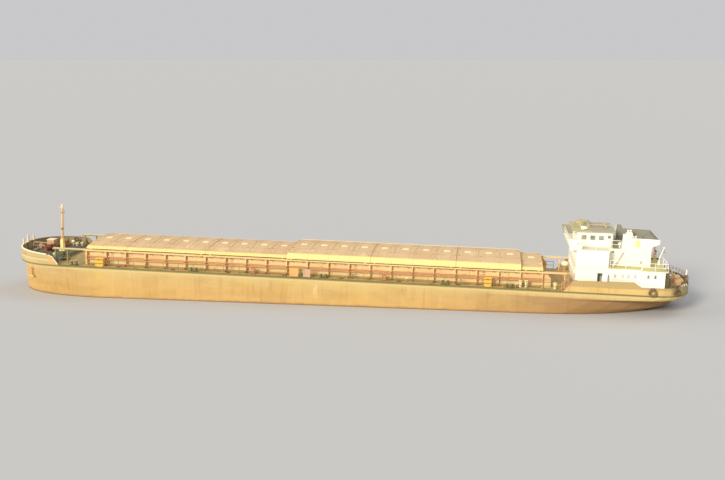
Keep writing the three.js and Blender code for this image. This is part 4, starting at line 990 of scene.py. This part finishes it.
def forecastle_gear():
    """Pipe frame, vents, hatch, winch motor and rope coils on the raised fore deck."""
    tan, pale, dark, green, rope = shapes(5)
    y, top = 0.45, 7.1
    pipe(pale, [(-45.9, y, RAISED_DECK), (-45.85, y, 7.02), (-45.7, y, top), (-43.85, y, top),
                (-43.75, y, 7.02), (-43.75, y, RAISED_DECK)], 0.035)
    for x in (-45.3, -44.7, -44.2):
        rod(tan, (x, y, RAISED_DECK), (x, y, top - 0.02), 0.035)
    rod(tan, (-45.85, y, 6.6), (-43.75, y, 6.6), 0.03)
    block(tan, (-45.2, 0.7, RAISED_DECK), (-44.75, 1.35, 6.72), 0.04)
    block(tan, (-45.1, -1.0, RAISED_DECK), (-44.9, 0.2, 6.34), 0.03)
    # the deck hatch and its lid
    block(green, (-40.5, -2.9, RAISED_DECK), (-39.7, -2.1, 6.45), 0.02)
    block(green, (-40.55, -2.95, 6.45), (-39.65, -2.05, 6.52), 0.02)
    # ventilators abaft the winch: station, distance from the middle, height, radius
    for x, y, height, radius, bm in ((-41.3, 4.0, 0.75, 0.26, pale), (-40.55, 3.7, 0.5, 0.3, tan),
                                     (-39.9, 4.0, 0.55, 0.24, pale), (-40.4, -4.1, 0.6, 0.22, pale)):
        neck = radius * 0.55
        turned(bm, [(0, 0), (neck, 0), (neck, height - 0.2), (radius, height - 0.22), (radius, height - 0.12),
                    (radius * 0.7, height), (0, height + 0.03)], (x, y, RAISED_DECK), steps=18)
    block(dark, (-41.75, 1.75, RAISED_DECK), (-41.45, 2.5, 6.7), 0.04)
    turned(dark, [(0, -0.4), (0.2, -0.38), (0.2, 0.38), (0, 0.4)], (-42.15, 3.4, 6.45), ACROSS, 18)
    rope_coil(rope, -43.2, -3.7, 0.4)
    rope_coil(rope, -41.9, 4.3, 0.36)
    finished(tan, "fore_deck_frame", TAN_GEAR, 40)
    finished(pale, "fore_deck_vents", PLATE_CREAM, 40)
    finished(dark, "winch_motor", RUSTY, 40)
    finished(green, "fore_hatch", GREEN)
    finished(rope, "rope_coils", ROPE, 60)


def break_stairs():
    """Steps with their strings and handrails, down from the forecastle to the side decks."""
    bm = bmesh.new()
    for _, side in SIDES:
        for i in range(3):
            z = 5.98 - i * 0.15
            pad(bm, -39.3 + i * 0.22, side * 3.1, 0.1, 0.35, z - 0.02, z + 0.02)
        for y in (side * 2.75, side * 3.45):
            pipe(bm, [(-38.75, y, DECK), (-38.75, y, 6.25), (-39.0, y, 6.6), (-39.6, y, 6.95),
                      (-39.75, y, 6.85), (-39.75, y, RAISED_DECK)], 0.025, 6)
            slat(bm, (-39.0, y, DECK), (-39.0, y, 6.05), 0.6, 0.03)
    finished(bm, "break_stairs", RAIL_PAINT, 50)


def mast_fittings():
    """Rungs, lamp glasses, cable and truck of the foremast, made upright and then raked with it."""
    white, glass = shapes(2)
    near, far, half = MAST_X + 0.14, MAST_X + 0.27, 0.14
    for z in (7.95 + i * 0.3 for i in range(15)):
        pipe(white, [(near, -half, z), (far, -half, z), (far, half, z), (near, half, z)], 0.014, 6)
    pipe(white, [(MAST_X + 0.02, 0.17, 7.6), (MAST_X + 0.02, 0.16, 12.7)], 0.018, 6)
    turned(white, [(0, 0), (0.09, 0.01), (0.1, 0.06), (0, 0.12)], (MAST_X, 0, 12.99), steps=14)
    for shift, z in ((-0.3, 12.33), (-0.28, 10.93)):
        turned(glass, [(0, 0), (0.128, 0), (0.135, 0.1), (0.128, 0.2), (0, 0.2)], (MAST_X + shift, 0, z),
               steps=16)
    for y in (-0.7, 0.7):
        rod(white, (MAST_X, y, 11.78), (MAST_X, y, 11.62), 0.05, 10)
    rake = Matrix.Rotation(math.radians(MAST_RAKE), 3, "Y")
    for bm in (white, glass):
        bmesh.ops.rotate(bm, cent=at(MAST_X, 0, MAST_HINGE), matrix=rake, verts=bm.verts)
    finished(white, "foremast_fittings", MAST_PAINT, 50, "foremast")
    finished(glass, "foremast_lamps", PALE_GLASS, 50, "foremast")


bow_rim()
ground_tackle()
forecastle_gear()
break_stairs()
mast_fittings()


# House

def window(frames, panes, wall, out, middle, half, low, high, depth=0.05, on_end=False):
    """A framed pane in a side wall or an end wall, its middle at a distance along the wall."""
    def spot(through, along, z):
        return (through, along, z) if on_end else (along, through, z)

    rim, start, end = 0.055, middle - half, middle + half
    near, far = (wall - 0.03, wall + 0.02) if on_end else sorted((wall - out * 0.04, wall + out * 0.02))
    block(panes, spot(near, start, low), spot(far, end, high))
    near, far = sorted((wall, wall + out * depth))
    for left, right, bottom, top in ((start - rim, end + rim, low - rim, low),
                                     (start - rim, end + rim, high, high + rim),
                                     (start - rim, start, low, high), (end, end + rim, low, high)):
        block(frames, spot(near, left, bottom), spot(far, right, top), 0.01)


def porthole(frames, panes, x, y, z, side, radius=0.17):
    """A round window or its lid in a side wall, with a ring round it."""
    ring(frames, (x, y + side * 0.02, z), ACROSS, radius, 0.03, 22)
    drum(panes, (x, y, z), (0, side, 0), radius, 0.02, -0.03, 22)


def house_windows():
    """Windows and portholes of the house, the casing and the wheelhouse."""
    frames, dark, pale, lids = shapes(4)
    for _, side in SIDES:
        house, casing = side * HOUSE_HALF, side * CASING_HALF
        for x, z in ((36.57, 7.62), (37.52, 7.67), (38.5, 7.7), (39.23, 7.74), (40.1, 7.78)):
            window(frames, pale, house, side, x, 0.17, z - 0.24, z + 0.24)
        for x, z in ((41.62, 7.9), (42.5, 7.93)):
            window(frames, dark, side * WIDE_HALF, side, x, 0.13, z - 0.24, z + 0.24)
        for x, z in ((33.2, 7.6), (34.3, 7.6), (33.3, 9.9), (34.5, 9.9), (35.7, 9.9)):
            porthole(frames, lids, x, house, z, side)
        porthole(frames, dark, 37.27, casing, 9.24, side, 0.15)
        window(frames, dark, casing, side, 41.01, 0.19, 9.08, 9.4)
        window(frames, dark, casing, side, 37.275, 0.175, 10.35, 10.62)
        for x in (33.5, 34.65, 35.75):
            window(frames, dark, side * WHEELHOUSE_HALF, side, x, 0.33, 11.85, 12.45, 0.03)
    for i in range(-2, 3):
        window(frames, dark, 32.6, -1, i * 1.14, 0.42, 11.85, 12.45, on_end=True)
        if i:
            window(frames, dark, 37.25, 1, i * 1.14, 0.35, 11.85, 12.45, on_end=True)
        for z in (7.35, 9.55):
            window(frames, pale, HOUSE_FORE, -1, i * 2.0, 0.2, z, z + 0.5, on_end=True)
    for y in (-4.6, -3.2, 3.2, 4.6):
        window(frames, dark, HOUSE_AFT, 1, y, 0.18, 7.4, 7.9, on_end=True)
    for y in (-2.3, 2.3):
        window(frames, dark, 42.2, 1, y, 0.2, 9.6, 10.1, on_end=True)
    finished(frames, "window_frames", WHITE)
    finished(dark, "dark_panes", DARK_GLASS)
    finished(pale, "curtained_panes", PALE_GLASS)
    finished(lids, "deadlights", WHITE)


def strip(bm, middle, half, wall, depth, low, high):
    """A flat strip on a side wall, that stands off it by a depth."""
    near, far = sorted((wall, wall + depth))
    block(bm, (middle - half, near, low), (middle + half, far, high))


def house_doors():
    """Drip rails and sills of the side doorways, the walls within them, and a door on the aft wall."""
    bm, dark = shapes(2)
    for _, side in SIDES:
        drip = 0.12 if side > 0 else 0.03
        strip(bm, 35.6, 0.45, side * HOUSE_HALF, side * drip, RAISED_DECK + 1.92, RAISED_DECK + 1.97)
        for x, half, level in ((35.6, HOUSE_HALF, RAISED_DECK), (36.75, WHEELHOUSE_HALF, BRIDGE_DECK)):
            strip(bm, x, 0.4, side * half, side * 0.03, level + 0.02, level + 0.1)
        pad(bm, 35.7, side * 4.25, 0.8, 0.03, 6.12, 8.52)
    for y in (-0.4, 0.4):
        block(bm, (HOUSE_AFT, y - 0.04, 6.15), (HOUSE_AFT + 0.05, y + 0.04, 8.1))
    block(bm, (HOUSE_AFT, -0.44, 8.06), (HOUSE_AFT + 0.05, 0.44, 8.14))
    block(dark, (HOUSE_AFT + 0.003, -0.36, 6.2), (HOUSE_AFT + 0.045, 0.36, 8.04), 0.02)
    for z in (6.5, 7.7):
        block(bm, (HOUSE_AFT + 0.04, 0.3, z), (HOUSE_AFT + 0.07, 0.42, z + 0.1))
    finished(bm, "door_trims", WHITE)
    finished(dark, "aft_door", YELLOW)


def door_pane(name, side):
    """The window of a door leaf that lies along its wall."""
    low, high = (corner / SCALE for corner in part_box(name))
    x, y = (low.x + high.x) / 2, (low.y + high.y) / 2 + side * 0.028
    bm = bmesh.new()
    block(bm, (x - 0.2, y - 0.008, low.z + 1.1), (x + 0.2, y + 0.012, low.z + 1.5), 0.005)
    finished(bm, f"{name}_pane", DARK_GLASS, body=name)


def ladders_and_rails():
    """Aft ladders to the boat deck, stern guard rail and handrails on the house."""
    white, rail = shapes(2)
    ladder_x, half = 44.28, 0.24
    for _, side in SIDES:
        middle = side * 5.35
        for y in (middle - half, middle + half):
            pipe(rail, [(ladder_x, y, RAISED_DECK), (ladder_x, y, 9.5), (44.18, y, 9.68), (43.98, y, 9.7)],
                 0.028, 6)
        for z in (6.4 + i * 0.3 for i in range(8)):
            rod(rail, (ladder_x, middle - half, z), (ladder_x, middle + half, z), 0.02, 6)
        handrail(white, 36.9, 40.5, side * HOUSE_HALF, side * 0.08, 7.25, 0.02)
        handrail(white, 33.0, 35.5, side * WHEELHOUSE_HALF, side * 0.08, 11.6, 0.018)
    for height in (6.85, 7.15):
        pipe(rail, end_line(STERN_PLAN, 44.4, 0.1, lambda x: height), 0.024, 6)
    for x, y, z in end_line(STERN_PLAN, 44.4, 0.1, lambda x: 6.5, 12):
        rod(rail, (x, y, z), (x, y, 7.15), 0.026, 6)
    finished(white, "house_handrails", WHITE, 50)
    finished(rail, "stern_rail_and_ladders", RAIL_PAINT, 50)


def roof_gear():
    """Searchlight, horns, aerials, rail and locker on the wheelhouse roof, side lights on the wings."""
    white, khaki, glass, red, green = shapes(5)
    x, y, z = lamp = (33.42, -2.72, 13.36)
    turned(white, [(0, -0.42), (0.14, -0.42), (0.2, -0.3), (0.25, 0.1), (0.27, 0.3), (0.25, 0.36), (0, 0.36)],
           lamp, (-1, 0, 0))
    turned(glass, [(0, 0.37), (0.22, 0.365), (0.22, 0.34), (0, 0.33)], lamp, (-1, 0, 0))
    pipe(white, [(x, y, ROOF), (x, y, z - 0.16)], 0.06)
    for arm in (y - 0.25, y + 0.25):
        rod(white, (x, arm, z - 0.21), (x, arm, z + 0.04), 0.02, 6)
    rod(white, (x, y - 0.25, z - 0.2), (x, y + 0.25, z - 0.2), 0.03, 6)
    block(khaki, (32.9, 2.0, ROOF), (34.6, 2.9, 13.42), 0.04)
    block(khaki, (32.86, 1.96, 13.42), (34.64, 2.94, 13.47), 0.01)
    for x, y, z in ((36.9, -2.2, 13.9), (36.9, 2.2, 13.9), (35.9, 2.6, 13.75)):
        rod(khaki, (x, y, ROOF), (x, y, z), 0.02, 6, 0.012)
        turned(khaki, [(0, 0), (0.06, 0), (0.06, 0.04), (0, 0.05)], (x, y, z - 0.02), steps=12)
    for y in (-0.9, 0.9):
        turned(khaki, [(0, 0.3), (0.02, 0.3), (0.03, 0.1), (0.1, -0.18), (0.11, -0.2), (0, -0.15)],
               (32.5, y, 13.24), AFT, 16)
        rod(khaki, (32.6, y, ROOF), (32.6, y, 13.24), 0.03, 6)
    for x in (32.1, 33.9, 35.7, 37.45):
        for y in (-3.24, 3.24):
            pad(khaki, x, y, 0.04, 0.03, ROOF - 0.002, ROOF + 0.09, 0.01)
    for y in (-3.24, 3.24):
        rod(khaki, (32.1, y, ROOF + 0.07), (37.45, y, ROOF + 0.07), 0.018, 6)
    for bm, side in ((red, -1), (green, 1)):
        pad(white, 32.55, side * 5.54, 0.35, 0.02, 11.6, 12.0, 0.005)
        drum(bm, (32.5, side * 5.62, 11.7), UP, 0.06, 0, 0.14, 14)
    finished(white, "searchlight", WHITE, 40)
    finished(khaki, "roof_gear", ROOF_PAINT, 40)
    finished(glass, "searchlight_glass", PALE_GLASS, 40)
    finished(red, "port_light", PINK_RED, 40)
    finished(green, "starboard_light", GREEN, 40)


def boat_deck_gear():
    """Raft canisters on cradles, lifebuoys aft, casing panels, louvres, exhausts and vents."""
    white, orange, yellow, soot_and_shade, straps = shapes(5)
    for x, y, axis, half_x, half_y in ((39.2, 4.75, AFT, 0.05, 0.3), (43.2, 1.8, ACROSS, 0.3, 0.05)):
        turned(white, [(0, -0.6), (0.24, -0.56), (0.31, -0.48), (0.31, -0.03), (0.33, -0.02), (0.33, 0.02),
                       (0.31, 0.03), (0.31, 0.48), (0.24, 0.56), (0, 0.6)], (x, y, 9.1), axis)
        for shift in (-0.3, 0.3):
            pad(straps, x + shift * axis[0], y + shift * axis[1], half_x, half_y, BOAT_DECK, 8.84, 0.01)
    for x, y, axis in ((38.0, 5.58, ACROSS), (41.5, 6.27, ACROSS), (44.12, 3.6, AFT)):
        ring(orange, (x, y, 9.2), axis, 0.3, 0.07, 24, 8)
    for _, side in SIDES:
        y = side * (CASING_HALF + 0.02)
        pad(yellow, 40.4, y, 0.28, 0.03, 11.25, 12.15, 0.01)
        block(white, (40.06, y - 0.02, 12.16), (40.74, y + 0.05 * side + 0.02, 12.2))
        for z in (11.2 + i * 0.13 for i in range(7)):
            slat(white, (41.6, y, z), (41.6, y + side * 0.05, z - 0.05), 0.8, 0.02)
        pad(white, 38.6, y, 0.3, 0.02, 9.0, 10.4, 0.02)
        for x in (39.95, 40.3):
            turned(white, [(0.105, 0.1), (0.155, 0.1), (0.155, 0.26), (0.105, 0.26), (0.105, 0.1)],
                   (x, side * 2.2, 12.2), steps=18)
            # a dark disc in each exhaust: soot and painted shade
            drum(soot_and_shade, (x, side * 2.2, 12.2), UP, 0.1, 0.06, 0.14, 16)
        turned(white, [(0, 0), (0.12, 0), (0.12, 0.5), (0.24, 0.5), (0.24, 0.62), (0.12, 0.72), (0, 0.74)],
               (38.2, side * 2.9, BRIDGE_DECK), steps=18)
    finished(white, "boat_deck_gear", WHITE, 40)
    finished(orange, "lifebuoys", ORANGE, 60)
    finished(yellow, "casing_panels", PALE_YELLOW)
    finished(soot_and_shade, "exhaust_rings", SHADE, 40)
    finished(straps, "raft_cradles", STEEL)


def davit_gear():
    """Winch drum, sheave, wire and hook of the slewing davit."""
    bm = bmesh.new()
    y = -2.0
    turned(bm, [(0, -0.14), (0.14, -0.14), (0.14, -0.11), (0.08, -0.1), (0.08, 0.1), (0.14, 0.11),
                (0.14, 0.14), (0, 0.14)], (43.38, y, 9.5), ACROSS, 18)
    rod(bm, (43.4, y, 9.58), (44.0, y, 11.05), 0.012, 6)
    ring(bm, (44.07, y, 11.0), ACROSS, 0.06, 0.03, 14)
    rod(bm, (44.13, y, 10.98), (44.13, y, 10.45), 0.012, 6)
    ring(bm, (44.13, y, 10.38), ACROSS, 0.06, 0.02, 12)
    finished(bm, "davit_gear", STEEL, 40, "davit")


house_windows()
house_doors()
# the port house door stands open and has no pane
door_pane("wheelhouse_door_port", -1)
door_pane("house_door_starboard", 1)
door_pane("wheelhouse_door_starboard", 1)
ladders_and_rails()
roof_gear()
boat_deck_gear()
davit_gear()


# Stern, tyres and under the water

def stern_gear():
    """Winch cowl and cheeks, lantern post, fairleads, rope and vents on the poop."""
    tan, white, dark, rope = shapes(4)
    block(tan, (45.72, -2.05, 6.9), (46.5, -1.1, 7.3), 0.08)
    turned(tan, [(0, -0.3), (0.32, -0.3), (0.36, -0.26), (0.36, 0.26), (0.32, 0.3), (0, 0.3)],
           (46.62, -1.65, 6.6), ACROSS)
    for y in (-3.05, -0.3):
        drum(tan, (46.05, y, 6.68), ACROSS, 0.42, -0.06, 0.06, 24)
    pipe(white, [(47.1, -2.4, 7.55), (47.16, -2.4, 8.0), (47.18, -2.4, 8.28)], 0.085, 12)
    turned(dark, [(0, 0), (0.2, 0), (0.2, 0.3), (0.12, 0.34), (0, 0.34)], (47.1, -2.4, 7.2), steps=16)
    for _, side in SIDES:
        y = side * edge_at(STERN_PLAN, 46.6, 0.26)
        for shift in (0, 0.3):
            ring(white, (46.5 + shift, y - side * shift, 6.45), (0.75, side * 0.65, 0), 0.3, 0.08, sides=8)
        ring(dark, (44.6, side * edge_at(STERN_PLAN, 44.6, 0.2), 6.4), (0.1, side, 0), 0.2, 0.06, sides=8)
        bollard(dark, 38.2, side * 6.05, RAISED_DECK, 0.28, 0.11, 0.35)
    rope_coil(rope, 45.3, 2.6, 0.42)
    for x, y in ((44.7, -0.2), (45.9, 1.4)):
        turned(white, [(0, 0), (0.1, 0), (0.1, 0.4), (0.2, 0.4), (0.2, 0.5), (0.1, 0.58), (0, 0.6)],
               (x, y, RAISED_DECK), steps=18)
    finished(tan, "stern_winch_cowl", TAN_GEAR, 40)
    finished(white, "stern_posts", WHITE, 40)
    finished(dark, "stern_fairleads", RUSTY, 40)
    finished(rope, "stern_rope", ROPE, 60)


def poop_step_gear():
    """Rims of the sloping bulwark ends, a ventilator's hood, and pipes from the cover rails to the house."""
    rim, ends, cowl = shapes(3)
    pipe_z = 7.56
    for _, side in SIDES:
        y = side * 6.43
        flat_bar(rim, [(30.95, y, 5.63), (31.05, y, 5.65), (32.2, y, 7.03), (32.6, y, 7.05)], 0.16, 0.07)
        for y in (side * 4.7, side * 5.2):
            pipe(ends, [(31.38, y, pipe_z), (32.2, y, pipe_z), (32.42, y, pipe_z)], 0.045)
        for x in (31.7, 32.1):
            rod(ends, (x, side * 4.7, pipe_z), (x, side * 5.2, pipe_z), 0.03)
    turned(cowl, [(0, 0.66), (0.3, 0.63), (0.42, 0.52), (0.48, 0.34), (0.48, 0.16), (0.42, 0.06), (0.22, 0),
                  (0, 0)], (31.75, 3, 6.82), steps=28)
    finished(rim, "poop_rims", ORANGE_TAN)
    finished(cowl, "poop_ventilator", PLATE_CREAM, 40)
    finished(ends, "rail_ends", COAMING, 50)


def tyre(node):
    """A worn truck tyre in place of the plain ring, with tread blocks and the chains it hangs by."""
    low, high = (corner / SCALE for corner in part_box(node))
    middle = (low + high) / 2
    side = 1 if middle.y > 0 else -1
    # it leans with the ship's side
    run = 0.01
    lean = math.atan2(edge_at(STERN_PLAN, middle.x, 0) - edge_at(STERN_PLAN, middle.x + run, 0), run)
    axis = Vector((math.sin(lean), side * math.cos(lean), 0))
    bm = bmesh.new()
    wall = [(0.29, -0.1), (0.33, -0.135), (0.42, -0.145), (0.5, -0.125), (0.53, -0.1)]
    turned(bm, [*wall, *((radius, -z) for radius, z in reversed(wall)), (0.31, 0), wall[0]], middle, axis, 48)
    spin = Vector(UP).rotation_difference(axis).to_matrix().to_4x4()
    block_size = Matrix.Diagonal((0.03 * SCALE, 0.055 * SCALE, 0.085 * SCALE, 1))
    for i in range(36):
        tread = Matrix.Translation(middle * SCALE) @ spin @ Matrix.Rotation(i / 36 * math.tau, 4, "Z")
        for shift in (-0.055, 0.055):
            place = tread @ Matrix.Translation(at(0.532, 0, shift)) @ block_size
            bmesh.ops.create_cube(bm, size=1, matrix=place)
    piece = finished(bm, f"{node}_tyre", RUBBER, 40)
    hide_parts(node)
    chains = bmesh.new()
    along = Vector((-axis.y, axis.x, 0))
    for shift in (-0.16, 0.16):
        foot = middle + along * shift + Vector((0, 0, 0.42))
        head = foot - axis * 0.12
        head.z = 6.52 if middle.x > 41 else 7.0
        chain(chains, foot, head, 0.0, 3)
    finished(chains, f"{node}_chains", STEEL, 60)


def blade_point(along, across, side):
    """A point of a screw's upright blade in model metres; along runs from 0 at the root to 1 at the tip."""
    radius = 0.15 + 0.71 * along
    half_chord = 0.31 * math.sqrt(max(1 - (1.5 * along - 0.72) ** 2 / 0.68, 0.04))
    reach = across * half_chord + 0.1 * along ** 2
    pitch = math.atan2(1.5, math.tau * radius)
    swing = reach * math.cos(pitch) / radius
    return at(side * reach * math.sin(pitch), radius * math.sin(swing), radius * math.cos(swing))


def screw(node, side):
    """A bronze screw with four skewed blades in place of the plain one."""
    bm = bmesh.new()
    centre = (SCREW_X, side * SCREW_Y, SCREW_Z)
    turned(bm, [(0, -0.26), (0.16, -0.26), (0.2, -0.2), (0.2, 0.06), (0.16, 0.18), (0.06, 0.26), (0, 0.27)],
           centre, AFT, 24)
    for i in range(4):
        made = bmesh.ops.create_grid(bm, x_segments=6, y_segments=8, size=1)
        for vert in made["verts"]:
            vert.co = blade_point((vert.co.y + 1) / 2, vert.co.x, side)
        faces = list(dict.fromkeys(f for v in made["verts"] for f in v.link_faces))
        bmesh.ops.recalc_face_normals(bm, faces=faces)
        thick = bmesh.ops.solidify(bm, geom=faces, thickness=0.03 * SCALE)
        backs = [part for part in thick["geom"] if isinstance(part, bmesh.types.BMVert)]
        place = Matrix.Translation(at(*centre)) @ Matrix.Rotation(i * math.pi / 2, 4, "X")
        bmesh.ops.transform(bm, matrix=place, verts=list(dict.fromkeys(made["verts"] + backs)))
    piece = finished(bm, f"{node}_blades", BRONZE, 40, node)
    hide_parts(node)


def rudder_ribs(node, side):
    """Stiffeners and palm of a rudder."""
    bm = bmesh.new()
    y = side * SCREW_Y
    for z in (0.45, 0.95, 1.45, 1.95):
        pad(bm, 42.85, y, 0.55, 0.1, z - 0.03, z + 0.03, 0.01)
    turned(bm, [(0, 0), (0.22, 0), (0.22, 0.1), (0.14, 0.12), (0.14, 0.2), (0, 0.2)], (RUDDER_X, y, 2.3))
    finished(bm, f"{node}_ribs", RUSTY, body=node)


def underwater_gear():
    """Gratings of the sea chests and guard rings round the shafts' ends."""
    bm = bmesh.new()
    for _, side in SIDES:
        for x in (-10.0, 8.0):
            for bar in (x + i * 0.22 for i in range(5)):
                block(bm, (bar, side * 6.49 - 0.02, 0.62), (bar + 0.06, side * 6.49 + 0.03, 1.1))
        turned(bm, [(0.15, -0.12), (0.2, -0.12), (0.22, 0), (0.2, 0.12), (0.15, 0.12)],
               (40.1, side * SCREW_Y, SCREW_Z), AFT)
    finished(bm, "underwater_gear", STEEL)


stern_gear()
poop_step_gear()
for end in ("fore", "aft"):
    for name, _ in SIDES:
        tyre(f"fender_{name}_{end}")
for name, side in SIDES:
    screw(f"propeller_{name}", side)
    rudder_ribs(f"rudder_{name}", side)
underwater_gear()
